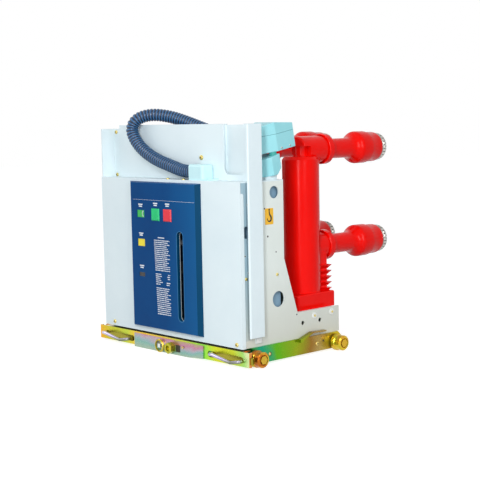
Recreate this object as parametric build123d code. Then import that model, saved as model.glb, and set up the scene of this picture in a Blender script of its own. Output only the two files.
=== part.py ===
from build123d import *
import os
from math import pi, radians, tan

# Withdrawable vacuum circuit breaker on a four-wheeled truck.
# Millimetres. +X is to the right seen from the front, +Y points from the front
# cover to the contact arms, +Z is up. While it is drawn, y = 0 is the front
# face of the cover; place() moves every piece so that the origin ends up on
# the floor in the middle of the plan.

# Housing of folded sheet steel
COVER_WIDTH = 601.0
COVER_HEIGHT = 438.0
HOUSING_FOOT = 51.0
SHEET = 3.0
COVER_SHEET = 2.0
COVER_LIP = 12.0
COVER_LIP_NOTCH = 30.0
HOUSING_DEPTH = 158.8
SLOPE_START = 276.3
BASE_TOP = 123.5
BASE_SLOPE_END = 207.0
BASE_DEPTH = 372.5
BASE_PLATE = 5.0
BASE_PLATE_DROP = 5.5

# Holes in the side plates
LIFTING_HOLE_R = 16.5
LIFTING_HOLE_Y = 124.6
LIFTING_HOLE_Z = 456.5
ACCESS_HOLE_R = 21.5
ACCESS_HOLE_Y = 135.3
ACCESS_HOLE_Z = 169.0
FRONT_HOLE_Y = 24.0
FRONT_HOLE_Z = 356.6
BASE_HOLE_R = 6.0
BASE_HOLE_RISE = 40.5
BASE_HOLES_Y = (227.5, 295.0)

# Upper structure
TALL_PLATE_TOP = 639.0
TALL_PLATE_Y = 46.7
TALL_PLATE_LEFT = -269.0
TALL_PLATE_RIGHT = 297.0
NOTCH_LEFT = 190.0
NOTCH_RIGHT = 271.0
NOTCH_FOOT = 505.0
NOTCH_R = 18.0
TALL_FLANGE = 18.0
POCKET_DEPTH = 14.0
POCKET_MARGIN = 8.0
LEFT_POST_TOP = 629.0
POST_PROUD = 14.0
POST_FOLD_R = 4.0
POST_LIP = 5.0
POST_TAB_WIDTH = 22.0
POST_TAB_DROP = 18.0
POST_FRONT = 19.0
POST_DEPTH = 50.0
POST_FOOT = 78.0
POST_WALL = 2.5

# Truck and its wheels
WHEEL_R = 23.0
WHEEL_WIDTH = 33.0
WHEEL_BORE_R = 8.05
AXLE_R = 8.0
WHEEL_POCKET_R = 14.0
WHEEL_STEP = 2.0
WHEEL_TREAD = 11.0
WHEEL_NOSE = 3.0
STUD_HEAD_R = 12.0
STUD_HEAD = 6.0
STUD_PROUD = 1.0
FRONT_WHEEL_Y = 38.0
REAR_WHEEL_INSET = 30.0
RAIL_FOOT = 6.0
RAIL_FRONT = 32.0
RAIL_PAST_BASE = 6.5
RAIL_CORNER = 16.0
RAIL_FLANGE = 26.0
TRIP_START = 169.0
TRIP_LENGTH = 102.0
TRIP_RAMP = 46.0
TRIP_LIFT = 15.0
TRIP_THICK = 4.0
TRIP_WIDTH = 12.0
TRIP_FOOT = 9.0
FLOOR_FRONT = 60.0
NUT_HALF = 16.0
NUT_LENGTH = 24.0
WASHER_R = 13.0
WASHER_THICK = 3.0
RUNNING_GAP = 0.3

# Front beam that locks into the cubicle
BEAM_WIDTH = 652.0
BEAM_FOOT = 6.0
BEAM_TOP = 45.5
BEAM_FRONT = -2.0
BEAM_DEPTH = 28.0
BEAM_END_DEPTH = 10.0
HANDLE_INSET = 86.0
HANDLE_SPAN = 116.0
HANDLE_Z = 23.0
HANDLE_BULGE = 19.0
HANDLE_ROD_R = 4.5
HANDLE_BEND_R = 8.0
HANDLE_SWAY = 6.0
HANDLE_CREST = 0.62
TONGUE_GAP = 1.0
HANDLE_TRAVEL = 14.0
SLIDER_HEIGHT = 18.0
SLIDER_THICK = 6.0
TONGUE_PROUD = 3.0
SLOT_HEIGHT = 17.0
SLOT_END_GAP = 6.0
CENTRE_PLATE_LEFT = -157.0
CENTRE_PLATE_RIGHT = 146.0
CENTRE_PLATE_FOOT = 1.5
CENTRE_PLATE_DROP = 3.5
CENTRE_PLATE_CUT = 66.0
LOCK_WINDOW_X = (30.0, 50.0)
LOCK_WINDOW_Z = (10.0, 30.0)
SCREW_X = -36.0
SCREW_Z = 20.0
SCREW_R = 8.0
SCREW_BORE_GAP = 0.1
SCREW_SPARE = 16.0
COLLAR_R = 19.0
COLLAR_WALL = 4.0
COLLAR_PROUD = 8.0
THRUST_STEP = 2.0
THRUST_LENGTH = 8.0
SQUARE_SIZE = 11.0
SQUARE_PROUD = 7.0
HEX_X = 14.0
HEX_ACROSS_CORNERS = 32.0
HEX_PROUD = 17.0
HEX_BORE_R = 8.0
HEX_BORE_DEPTH = 10.0
RACKING_TRAVEL = 200.0

# Control panel on the cover
PANEL_LEFT = -162.0
PANEL_RIGHT = 146.0
PANEL_FOOT = 65.0
PANEL_TOP = 481.0
PANEL_PROUD = 10.0
PANEL_BEVEL = 14.0
PANEL_END_BEVEL = 3.0
BUTTON_SIZE = 34.0
BUTTON_SINK = 1.0
BUTTON_CHAMFER = 2.5
BUTTON_COLLAR = 4.0
BUTTON_COLLAR_THICK = 4.7
BUTTON_Z = 390.0
CLOSE_BUTTON_X = -38.0
OPEN_BUTTON_X = 14.5
BUTTON_GAP = 0.6
BUTTON_TRAVEL = 4.0
WINDOW_X = -105.0
STATE_WINDOW_Z = 390.0
SPRING_WINDOW_Z = 308.0
COUNTER_Z = 217.0
WINDOW_WIDTH = 32.0
WINDOW_HEIGHT = 21.0
COUNTER_WIDTH = 26.0
COUNTER_HEIGHT = 12.0
WINDOW_DEPTH = 3.0
FLAG_THICK = 2.0
LEVER_SLOT_X = 65.5
LEVER_SLOT_WIDTH = 27.0
LEVER_SLOT_FOOT = 99.0
LEVER_SLOT_TOP = 348.0
LEVER_LENGTH = 104.0
LEVER_THICK = 12.0
LEVER_HEIGHT = 16.0
LEVER_HUB_R = 14.0
LEVER_HUB_HALF = 9.0
LEVER_KNOB_R = 9.0
LEVER_KNOB_PROUD = 8.0
LEVER_KNOB_LENGTH = 24.0
EAR_HALF = 16.0
EAR_THICK = 4.0
EAR_GAP = 9.0
PIN_PROUD = 2.0
LEVER_PIVOT_Y = 84.0
LEVER_PIVOT_Z = 246.0
LEVER_REST_ANGLE = 42.0
LEVER_PIN_R = 7.0
LEVER_PIN_GAP = 0.05

# Control cable conduit with its elbow and plug
CONDUIT_R = 18.0
ELBOW_LEFT = 93.0
ELBOW_RIGHT = 150.0
ELBOW_FRONT = 4.0
ELBOW_BACK = 46.0
ELBOW_HEIGHT = 43.0
ELBOW_FOOT_RIGHT = 168.0
ELBOW_FOOT = 4.0
ELBOW_CORNER_R = 9.0
ELBOW_CROWN_R = 8.0
CONDUIT_RISE = 21.5
CONDUIT_COLLAR = 4.0
CONDUIT_COLLAR_LENGTH = 6.0
PLUG_LEFT = 225.0
PLUG_RIGHT = 300.0
PLUG_TILT = 10.0
PLUG_FRONT = 98.0
PLUG_SEAT = 5.5
PLUG_EDGE_R = 2.0
BLOCK_TOP = 46.0
BLOCK_TOP_REAR = 54.0
BLOCK_FRONT = 6.0
BLOCK_CUT = 16.0
BLOCK_INSET = 2.0
HOOD_FOOT = 61.0
HOOD_TOP = 139.0
HOOD_LENGTH = 122.0
HOOD_FRONT = 8.0
HOOD_BEVEL_WIDTH = 24.0
HOOD_BEVEL_LENGTH = 55.0
HOOD_FRONT_DROP = 8.0
HOOD_REAR_DROP = 13.0
SADDLE_INSET = 12.0
SADDLE_SHARE = 0.4
LATCH_WIDTH = 14.0
LATCH_START = 40.0
CONDUIT_PLUG_Y = 138.0
CONDUIT_PLUG_Z = 596.0

# Embedded poles
PHASE_SPACING = 210.0
ARM_SPACING = 275.0
UPPER_ARM_Z = 561.2
POLE_Y = 317.0
POLE_R = 52.4
POLE_TOP = 534.0
POLE_CROWN = 9.0
POLE_CROWN_STEP = 6.4
BOSS_R = 18.5
BOSS_SET_BACK = 5.0
POLE_FOOT_HEIGHT = 43.0
POLE_FOOT_HALF = 58.0
POLE_FOOT_FRONT = 241.0
POLE_FOOT_REAR = 393.0
POLE_FOOT_CORNER_R = 9.0
POLE_FOOT_EDGE_R = 5.0
SPINE_HALF = 36.0
SPINE_EDGE_R = 4.0
SPINE_REAR = 384.0
SPINE_TOP = 272.0
RIB_COUNT = 5
RIB_PITCH = 16.3
RIB_TOP = 234.0
RIB_REACH = 9.0
RIB_HEIGHT = 11.0
HEAD_R = 38.0
HEAD_FRONT = 298.0
HEAD_EDGE_R = 4.0
HEAD_UNDERCUT = 45.0
HEAD_UNDERCUT_Z = 572.0
ARM_ROOT = 395.0
MOUTH_DEPTH = 10.0
MOUTH_GAP = 1.5
MOUTH_WALL = 2.5
SHED_R = 43.5
SHED_START = 20.0
SHED_LENGTH = 22.0
SHED_FALL = 23.0
FALL_SHARE = 0.57
NECK_R = 28.5
CUP_R = 47.0
CUP_FRONT = 530.0
CUP_REAR = 632.0
CUP_WALL = 6.0
CUP_FLOOR = 560.0
CUP_FLARE = 26.0
CUP_BAND = 56.0
CUP_STEP = 1.0
CUP_LIP = 8.0
FLARE_SHARE = 0.65
CONTACT_BORE_R = 24.5
CONTACT_PROUD = 14.0
CONTACT_GAP = 0.5
CONTACT_HUB = 22.0
CONTACT_TAPER = 14.0
CONTACT_WAIST = 8.0
CONTACT_NOSE = 5.0
CONTACT_LEAD = 4.0
FINGER_COUNT = 24
FINGER_SLIT = 1.6

# Derived places
HALF = COVER_WIDTH / 2
HOUSING_TOP = HOUSING_FOOT + COVER_HEIGHT
SIDE_OUTER = HALF - COVER_SHEET
SIDE_INNER = SIDE_OUTER - SHEET
BASE_FLOOR = BASE_TOP - BASE_PLATE_DROP
LOWER_ARM_Z = UPPER_ARM_Z - ARM_SPACING
RAIL_OUTER = HALF + SHEET
RAIL_REAR = BASE_DEPTH + RAIL_PAST_BASE
REAR_WHEEL_Y = RAIL_REAR - REAR_WHEEL_INSET
HANDLE_X = BEAM_WIDTH / 2 - HANDLE_INSET
SCREW_REAR = FLOOR_FRONT + NUT_LENGTH + RACKING_TRAVEL + SCREW_SPARE
BUTTON_PROUD = BUTTON_TRAVEL - BUTTON_SINK
WHEEL_INNER = RAIL_OUTER + WASHER_THICK + RUNNING_GAP
WHEEL_OUTER = WHEEL_INNER + WHEEL_WIDTH
CONTACT_REAR = CUP_REAR + CONTACT_PROUD
PLATE_FRONT = BEAM_FRONT - SHEET
FRONT_MOST = PLATE_FRONT - HANDLE_BULGE - HANDLE_ROD_R
MIDDLE_Y = (FRONT_MOST + CONTACT_REAR) / 2
POLES = {"left": -PHASE_SPACING, "middle": 0.0, "right": PHASE_SPACING}
SIDES = {"left": -1, "right": 1}
CUT = 1.0

os.makedirs("parts", exist_ok=True)


def place(name, shape):
    """Write one finished piece, moved to the origin in the middle of the plan."""
    export_step(Pos(0, -MIDDLE_Y, 0) * shape, f"parts/{name}.step")


def block(x, y, z):
    """Rectangular block between low and high values on each axis."""
    size = Box(x[1] - x[0], y[1] - y[0], z[1] - z[0])
    return Pos((x[0] + x[1]) / 2, (y[0] + y[1]) / 2, (z[0] + z[1]) / 2) * size


def side_sheet(outline, x):
    """Sheet seen from the side: an outline in (y, z), between two x values."""
    face = Plane.YZ.offset(x[0]) * make_face(Polyline(*outline, close=True))
    return extrude(face, x[1] - x[0])


def front_sheet(outline, y):
    """Sheet seen from the front: an outline in (x, z), between two y values."""
    plane = Plane(origin=(0, y[1], 0), x_dir=(1, 0, 0), z_dir=(0, -1, 0))
    return extrude(plane * make_face(Polyline(*outline, close=True)), y[1] - y[0])


def rod_x(y, z, radius, x):
    """Round bar along X."""
    return Pos((x[0] + x[1]) / 2, y, z) * Rot(0, 90, 0) * Cylinder(radius, x[1] - x[0])


def rod_y(x, z, radius, y):
    """Round bar along Y."""
    return Pos(x, (y[0] + y[1]) / 2, z) * Rot(90, 0, 0) * Cylinder(radius, y[1] - y[0])


def turned_y(outline, x, z):
    """Turned part on an axis along Y: a closed outline of edges in (y, radius)."""
    plane = Plane(origin=(x, 0, z), x_dir=(0, 1, 0), z_dir=(1, 0, 0))
    return revolve(plane * make_face(outline), Axis((x, 0, z), (0, 1, 0)))


def turned_x(outline, y, z):
    """Turned part on an axis along X: a closed outline of edges in (x, radius)."""
    plane = Plane(origin=(0, y, z), x_dir=(1, 0, 0), z_dir=(0, -1, 0))
    return revolve(plane * make_face(outline), Axis((0, y, z), (1, 0, 0)))


def obround(x, z, length, height, y):
    """Slot cutter with round ends, seen from the front."""
    plane = Plane(origin=(x, y[1], z), x_dir=(1, 0, 0), z_dir=(0, -1, 0))
    return extrude(plane * SlotOverall(length, height), y[1] - y[0])


def both_sides(shape):
    """The piece on the right, and its mirror image on the left."""
    return {"right": shape, "left": mirror(shape, Plane.YZ)}


# Truck

def rail():
    """Channel of the truck's right side, with a shouldered axle stud for each wheel."""
    web_in = RAIL_OUTER - SHEET
    flange_in = RAIL_OUTER - RAIL_FLANGE
    y = (RAIL_FRONT, RAIL_REAR)
    corner = RAIL_REAR - RAIL_CORNER
    web = side_sheet([(RAIL_FRONT, RAIL_FOOT), (RAIL_REAR, RAIL_FOOT),
                      (RAIL_REAR, HOUSING_FOOT - RAIL_CORNER), (corner, HOUSING_FOOT),
                      (RAIL_FRONT, HOUSING_FOOT)], (web_in, RAIL_OUTER))
    top = block((flange_in, web_in), (RAIL_FRONT, corner), (HOUSING_FOOT - SHEET, HOUSING_FOOT))
    foot = block((flange_in, web_in), y, (RAIL_FOOT, RAIL_FOOT + SHEET))
    body = web + top + foot
    head = WHEEL_OUTER + STUD_PROUD - STUD_HEAD
    for wheel_y in (FRONT_WHEEL_Y, REAR_WHEEL_Y):
        body += rod_x(wheel_y, WHEEL_R, WASHER_R, (RAIL_OUTER, RAIL_OUTER + WASHER_THICK))
        body += rod_x(wheel_y, WHEEL_R, AXLE_R, (web_in, head))
        hexagon = Plane.YZ.offset(head) * (Pos(wheel_y, WHEEL_R) * RegularPolygon(STUD_HEAD_R, 6))
        body += extrude(hexagon, STUD_HEAD)
    return body


def trip_strip():
    """Bent strip on the rail that works the interlock of the cubicle."""
    start = RAIL_FRONT + TRIP_START
    end = start + TRIP_LENGTH
    foot = HOUSING_FOOT - TRIP_FOOT
    top = HOUSING_FOOT + TRIP_LIFT
    outline = [(start, foot), (start, HOUSING_FOOT), (start + TRIP_RAMP, top), (end, top - TRIP_THICK / 2),
               (end, top - 1.5 * TRIP_THICK), (start + TRIP_RAMP + TRIP_THICK, top - TRIP_THICK),
               (start + TRIP_WIDTH, HOUSING_FOOT - TRIP_THICK), (start + TRIP_WIDTH, foot)]
    return side_sheet(outline, (RAIL_OUTER, RAIL_OUTER + TRIP_WIDTH))


def wheel(y):
    """Turned wheel with a flange next to the rail and a pocket for the bolt head."""
    pocket = WHEEL_OUTER + STUD_PROUD - STUD_HEAD - RUNNING_GAP
    step = WHEEL_R - WHEEL_STEP
    tread_end = WHEEL_INNER + WHEEL_TREAD
    outline = Polyline((WHEEL_INNER, WHEEL_BORE_R), (WHEEL_INNER, step), (WHEEL_INNER + WHEEL_STEP, WHEEL_R),
                       (tread_end, WHEEL_R), (tread_end + WHEEL_NOSE, step), (WHEEL_OUTER - WHEEL_NOSE, step),
                       (WHEEL_OUTER, step - WHEEL_NOSE), (WHEEL_OUTER, WHEEL_POCKET_R),
                       (pocket, WHEEL_POCKET_R), (pocket, WHEEL_BORE_R), close=True)
    return turned_x(outline, y, WHEEL_R)


def truck_floor():
    """Folded floor pan between the rails, with the bulkhead that carries the screw nut."""
    inner = RAIL_OUTER - RAIL_FLANGE
    x = (-inner, inner)
    floor = block(x, (FLOOR_FRONT, RAIL_REAR), (RAIL_FOOT, RAIL_FOOT + SHEET))
    bulkhead = block(x, (FLOOR_FRONT, FLOOR_FRONT + SHEET), (RAIL_FOOT, HOUSING_FOOT))
    rear = block(x, (RAIL_REAR - SHEET, RAIL_REAR), (RAIL_FOOT, HOUSING_FOOT))
    nut_y = (FLOOR_FRONT, FLOOR_FRONT + NUT_LENGTH)
    nut = block((SCREW_X - NUT_HALF, SCREW_X + NUT_HALF), nut_y, (RAIL_FOOT, SCREW_Z + NUT_HALF))
    thread = rod_y(SCREW_X, SCREW_Z, SCREW_R + SCREW_BORE_GAP, (nut_y[0] - CUT, nut_y[1] + CUT))
    return floor + bulkhead + rear + nut - thread


for side, shape in both_sides(rail() + trip_strip()).items():
    place(f"rail_{side}", shape)
for end, wheel_y in {"front": FRONT_WHEEL_Y, "rear": REAR_WHEEL_Y}.items():
    for side, shape in both_sides(wheel(wheel_y)).items():
        place(f"wheel_{end}_{side}", shape)
place("truck_floor", truck_floor())


# Front beam

def front_beam():
    """Shallow channel across the front, with a slot for each handle."""
    x = (-BEAM_WIDTH / 2, BEAM_WIDTH / 2)
    flange_x = (-HALF, HALF)
    web_back = BEAM_FRONT + SHEET
    slot_length = HANDLE_SPAN + HANDLE_TRAVEL + 2 * SLOT_END_GAP
    tongue = (HANDLE_Z - SLIDER_HEIGHT / 2 - TONGUE_GAP, HANDLE_Z + SLIDER_HEIGHT / 2 + TONGUE_GAP)
    beam = block(x, (BEAM_FRONT, web_back), (BEAM_FOOT, BEAM_TOP))
    beam += block(flange_x, (web_back, BEAM_FRONT + BEAM_DEPTH), (BEAM_TOP - SHEET, BEAM_TOP))
    beam += block(flange_x, (web_back, BEAM_FRONT + BEAM_DEPTH), (BEAM_FOOT, BEAM_FOOT + SHEET))
    for direction in (-1, 1):
        end = sorted((direction * (BEAM_WIDTH / 2 - SHEET), direction * BEAM_WIDTH / 2))
        flange = block(end, (web_back, BEAM_FRONT + BEAM_END_DEPTH), (BEAM_FOOT, BEAM_TOP))
        window = block((end[0] - CUT, end[1] + CUT),
                       (web_back + TONGUE_GAP, BEAM_FRONT + BEAM_END_DEPTH + CUT), tongue)
        beam += flange - window
        middle = direction * (HANDLE_X - HANDLE_TRAVEL / 2)
        beam -= obround(middle, HANDLE_Z, slot_length, SLOT_HEIGHT, (BEAM_FRONT - CUT, web_back + CUT))
    beam -= rod_y(SCREW_X, SCREW_Z, SCREW_R + RUNNING_GAP, (BEAM_FRONT - CUT, web_back + CUT))
    return beam


def centre_plate():
    """Thicker plate over the middle of the beam, with the guide ring round the screw's end."""
    top = BEAM_TOP - CENTRE_PLATE_DROP
    outline = [(CENTRE_PLATE_LEFT, top), (CENTRE_PLATE_RIGHT, top),
               (CENTRE_PLATE_RIGHT, BEAM_FOOT),
               (CENTRE_PLATE_RIGHT - CENTRE_PLATE_CUT, CENTRE_PLATE_FOOT),
               (CENTRE_PLATE_LEFT, CENTRE_PLATE_FOOT)]
    plate = front_sheet(outline, (PLATE_FRONT, BEAM_FRONT))
    plate -= rod_y(SCREW_X, SCREW_Z, SCREW_R + RUNNING_GAP, (PLATE_FRONT - CUT, BEAM_FRONT + CUT))
    plate -= block(LOCK_WINDOW_X, (PLATE_FRONT - CUT, BEAM_FRONT + CUT), LOCK_WINDOW_Z)
    ring_front = PLATE_FRONT - COLLAR_PROUD
    ring = rod_y(SCREW_X, SCREW_Z, COLLAR_R, (ring_front, PLATE_FRONT))
    ring = chamfer(ring.edges().group_by(Axis.Y)[0], THRUST_STEP)
    return plate + ring - rod_y(SCREW_X, SCREW_Z, COLLAR_R - COLLAR_WALL, (ring_front - CUT, PLATE_FRONT))


def racking_screw():
    """Screw that moves the truck in and out, with a square end for the crank."""
    web_back = BEAM_FRONT + SHEET
    side = SQUARE_SIZE / 2
    shank = rod_y(SCREW_X, SCREW_Z, SCREW_R, (PLATE_FRONT, SCREW_REAR))
    thrust = rod_y(SCREW_X, SCREW_Z, SCREW_R + THRUST_STEP, (web_back, web_back + THRUST_LENGTH))
    square = block((SCREW_X - side, SCREW_X + side), (PLATE_FRONT - SQUARE_PROUD, PLATE_FRONT),
                   (SCREW_Z - side, SCREW_Z + side))
    return shank + thrust + square


def hex_boss():
    """Hexagonal interlock boss beside the screw."""
    plane = Plane(origin=(HEX_X, PLATE_FRONT, SCREW_Z), x_dir=(0, 0, 1), z_dir=(0, -1, 0))
    front = PLATE_FRONT - HEX_PROUD
    body = extrude(plane * RegularPolygon(HEX_ACROSS_CORNERS / 2, 6), HEX_PROUD)
    body = chamfer(body.faces().sort_by(Axis.Y)[0].edges(), THRUST_STEP / 2)
    return body - rod_y(HEX_X, SCREW_Z, HEX_BORE_R, (front - CUT, front + HEX_BORE_DEPTH))


def handle(direction):
    """Handle of one side: a bent rod in front of the beam, its slider and its locking tongue."""
    half = HANDLE_SPAN / 2
    middle = direction * HANDLE_X
    seat = BEAM_FRONT + SHEET + TONGUE_GAP
    root = seat + SLIDER_THICK / 2
    front = PLATE_FRONT - HANDLE_BULGE
    shoulder = front + HANDLE_BULGE / 2
    route = [(middle - half, root, HANDLE_Z + HANDLE_SWAY / 2),
             (middle - half, shoulder, HANDLE_Z + HANDLE_SWAY / 2),
             (middle - half * HANDLE_CREST, front, HANDLE_Z + HANDLE_SWAY),
             (middle + half * HANDLE_CREST, front, HANDLE_Z - HANDLE_SWAY),
             (middle + half, shoulder, HANDLE_Z - HANDLE_SWAY / 2),
             (middle + half, root, HANDLE_Z - HANDLE_SWAY / 2)]
    path = FilletPolyline(*route, radius=HANDLE_BEND_R)
    rod = sweep(Plane(origin=route[0], z_dir=path % 0) * Circle(HANDLE_ROD_R), path=path)
    ends = sorted((direction * (HANDLE_X - half - SLOT_END_GAP), direction * (BEAM_WIDTH / 2 + TONGUE_PROUD)))
    slider = block(ends, (seat, seat + SLIDER_THICK),
                   (HANDLE_Z - SLIDER_HEIGHT / 2, HANDLE_Z + SLIDER_HEIGHT / 2))
    return rod + slider


place("front_beam", front_beam())
place("centre_plate", centre_plate())
place("racking_screw", racking_screw())
place("hex_boss", hex_boss())
for side, direction in SIDES.items():
    place(f"handle_{side}", handle(direction))


# Plug of the control cable

def leaned(shape):
    """A piece of the plug, turned back from level and set over its saddle."""
    return Pos(0, PLUG_FRONT, HOUSING_TOP + PLUG_SEAT) * Rot(PLUG_TILT, 0, 0) * shape


def moulding(plan, profile):
    """Moulded body from its outline in plan (x, y) and its outline from the side (y, z)."""
    tall = extrude(make_face(Polyline(*plan, close=True)), HOOD_TOP + CUT)
    body = tall & side_sheet(profile, (PLUG_LEFT - CUT, PLUG_RIGHT + CUT))
    return fillet(body.edges(), PLUG_EDGE_R)


def level_block():
    """Contact block before it is leaned back."""
    rear = HOOD_LENGTH / 2
    x = (PLUG_LEFT + BLOCK_INSET, PLUG_RIGHT - BLOCK_INSET)
    plan = [(x[0], BLOCK_FRONT), (x[1] - HOOD_BEVEL_WIDTH, BLOCK_FRONT),
            (x[1], BLOCK_FRONT + HOOD_BEVEL_WIDTH), (x[1], rear), (x[0], rear)]
    profile = [(BLOCK_FRONT, 0), (rear - BLOCK_CUT, 0), (rear, BLOCK_CUT), (rear, BLOCK_TOP_REAR),
               (BLOCK_FRONT, BLOCK_TOP)]
    return moulding(plan, profile)


def level_hood():
    """Hood before it is leaned back, with a wide bevel towards the front."""
    plan = [(PLUG_LEFT, HOOD_FRONT), (PLUG_RIGHT - HOOD_BEVEL_WIDTH, HOOD_FRONT),
            (PLUG_RIGHT, HOOD_BEVEL_LENGTH), (PLUG_RIGHT, HOOD_LENGTH), (PLUG_LEFT, HOOD_LENGTH)]
    profile = [(HOOD_FRONT, HOOD_FOOT), (HOOD_LENGTH, HOOD_FOOT), (HOOD_LENGTH, HOOD_TOP - HOOD_REAR_DROP),
               (HOOD_BEVEL_LENGTH, HOOD_TOP), (HOOD_FRONT, HOOD_TOP - HOOD_FRONT_DROP)]
    return moulding(plan, profile)


def hood_collar():
    """Collar on the hood's left side that the conduit enters through."""
    x = (PLUG_LEFT - CONDUIT_COLLAR_LENGTH, PLUG_LEFT)
    ring = rod_x(CONDUIT_PLUG_Y, CONDUIT_PLUG_Z, CONDUIT_R + CONDUIT_COLLAR, x)
    return ring - rod_x(CONDUIT_PLUG_Y, CONDUIT_PLUG_Z, CONDUIT_R + RUNNING_GAP, (x[0] - CUT, x[1]))


def plug_saddle():
    """Wedge on the lid that the plug rests on."""
    y = (PLUG_FRONT + BLOCK_FRONT, PLUG_FRONT + SADDLE_SHARE * HOOD_LENGTH)
    x = (PLUG_LEFT + SADDLE_INSET, PLUG_RIGHT - SADDLE_INSET)
    seat = block(x, y, (HOUSING_TOP, HOUSING_TOP + BLOCK_CUT))
    return seat - leaned(block((PLUG_LEFT, PLUG_RIGHT), (-HOOD_LENGTH, HOOD_LENGTH), (0, HOOD_FOOT)))


def plug_latch():
    """Latch that joins the hood to the contact block."""
    right = PLUG_RIGHT - LATCH_WIDTH / 2
    y = (LATCH_START, LATCH_START + LATCH_WIDTH)
    latch = block((right - LATCH_WIDTH, right), y, (BLOCK_TOP, HOOD_FOOT))
    return latch - level_block()


# Housing

def side_plate():
    """Right side plate with its holes."""
    front = COVER_SHEET
    outline = [(front, HOUSING_FOOT), (BASE_DEPTH, HOUSING_FOOT), (BASE_DEPTH, BASE_TOP),
               (BASE_SLOPE_END, BASE_TOP), (HOUSING_DEPTH, SLOPE_START),
               (HOUSING_DEPTH, HOUSING_TOP - SHEET), (front, HOUSING_TOP - SHEET)]
    plate = side_sheet(outline, (SIDE_INNER, SIDE_OUTER))
    through = (SIDE_INNER - CUT, SIDE_OUTER + CUT)
    plate -= rod_x(LIFTING_HOLE_Y, LIFTING_HOLE_Z, LIFTING_HOLE_R, through)
    plate -= rod_x(ACCESS_HOLE_Y, ACCESS_HOLE_Z, ACCESS_HOLE_R, through)
    plate -= rod_x(FRONT_HOLE_Y, FRONT_HOLE_Z, LIFTING_HOLE_R, through)
    for y in BASE_HOLES_Y:
        plate -= rod_x(y, HOUSING_FOOT + BASE_HOLE_RISE, BASE_HOLE_R, through)
    return plate


def rear_wall():
    """Folded wall behind the mechanism, sloping out to the base plate."""
    inner = HOUSING_DEPTH - SHEET
    outline = [(HOUSING_DEPTH, HOUSING_TOP - SHEET), (HOUSING_DEPTH, SLOPE_START),
               (BASE_SLOPE_END, BASE_FLOOR), (BASE_SLOPE_END - SHEET, BASE_FLOOR),
               (inner, SLOPE_START), (inner, HOUSING_TOP - SHEET)]
    return side_sheet(outline, (-SIDE_INNER, SIDE_INNER))


def base_plate():
    """Plate that the poles stand on, folded down at the back."""
    x = (-SIDE_INNER, SIDE_INNER)
    plate = block(x, (BASE_SLOPE_END - SHEET, BASE_DEPTH), (BASE_FLOOR - BASE_PLATE, BASE_FLOOR))
    return plate + block(x, (BASE_DEPTH - SHEET, BASE_DEPTH), (HOUSING_FOOT, BASE_FLOOR - BASE_PLATE))


def top_plate():
    """Lid of the housing, from the cover to the rear wall, with the saddle of the plug."""
    lid = block((-SIDE_OUTER, SIDE_OUTER), (COVER_SHEET, HOUSING_DEPTH), (HOUSING_TOP - SHEET, HOUSING_TOP))
    return lid + plug_saddle()


def lever_slot_cutter(y):
    """Cutter for the upright slot of the charging lever."""
    middle = (LEVER_SLOT_FOOT + LEVER_SLOT_TOP) / 2
    length = LEVER_SLOT_TOP - LEVER_SLOT_FOOT
    plane = Plane(origin=(LEVER_SLOT_X, y[1], middle), x_dir=(0, 0, 1), z_dir=(0, -1, 0))
    return extrude(plane * SlotOverall(length, LEVER_SLOT_WIDTH), y[1] - y[0])


def button_openings(y):
    """Cutters for the two buttons, with the running gap round them."""
    half = BUTTON_SIZE / 2 + BUTTON_GAP
    cutter = None
    for x in (CLOSE_BUTTON_X, OPEN_BUTTON_X):
        hole = block((x - half, x + half), y, (BUTTON_Z - half, BUTTON_Z + half))
        cutter = hole if cutter is None else cutter + hole
    return cutter


def window_block(z, width, height, y):
    """Block of one indicator window."""
    return block((WINDOW_X - width / 2, WINDOW_X + width / 2), y, (z - height / 2, z + height / 2))


def front_cover():
    """Front sheet folded back over the edges of the side plates."""
    sheet = block((-HALF, HALF), (0, COVER_SHEET), (HOUSING_FOOT, HOUSING_TOP))
    for x in ((-HALF, -SIDE_OUTER), (SIDE_OUTER, HALF)):
        lip = block(x, (COVER_SHEET, COVER_LIP), (HOUSING_FOOT, HOUSING_TOP - COVER_LIP_NOTCH))
        upper_corner = lip.edges().filter_by(Axis.X).group_by(Axis.Z)[-1].group_by(Axis.Y)[-1]
        sheet += fillet(upper_corner, COVER_LIP / 2)
    through = (-CUT, COVER_SHEET + CUT)
    return sheet - lever_slot_cutter(through) - button_openings(through)


def control_panel():
    """Raised panel with bevelled edges, moulded in one piece."""
    face_y = -PANEL_PROUD
    base = Plane(origin=(0, 0, 0), x_dir=(1, 0, 0), z_dir=(0, -1, 0))
    face = Plane(origin=(0, face_y, 0), x_dir=(1, 0, 0), z_dir=(0, -1, 0))
    middle_x = (PANEL_LEFT + PANEL_RIGHT) / 2
    middle_z = (PANEL_FOOT + PANEL_TOP) / 2
    width = PANEL_RIGHT - PANEL_LEFT
    height = PANEL_TOP - PANEL_FOOT
    foot = base * (Pos(middle_x, middle_z) * Rectangle(width, height))
    crown_size = Rectangle(width - 2 * PANEL_BEVEL, height - 2 * PANEL_END_BEVEL)
    crown = face * (Pos(middle_x, middle_z) * crown_size)
    panel = loft([foot.face(), crown.face()])
    through = (face_y - CUT, CUT)
    recess = (face_y - CUT, face_y + WINDOW_DEPTH)
    panel -= lever_slot_cutter(through)
    panel -= button_openings(through)
    panel -= window_block(STATE_WINDOW_Z, WINDOW_WIDTH, WINDOW_HEIGHT, recess)
    panel -= window_block(SPRING_WINDOW_Z, WINDOW_WIDTH, WINDOW_HEIGHT, recess)
    panel -= window_block(COUNTER_Z, COUNTER_WIDTH, COUNTER_HEIGHT, recess)
    return panel


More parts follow.
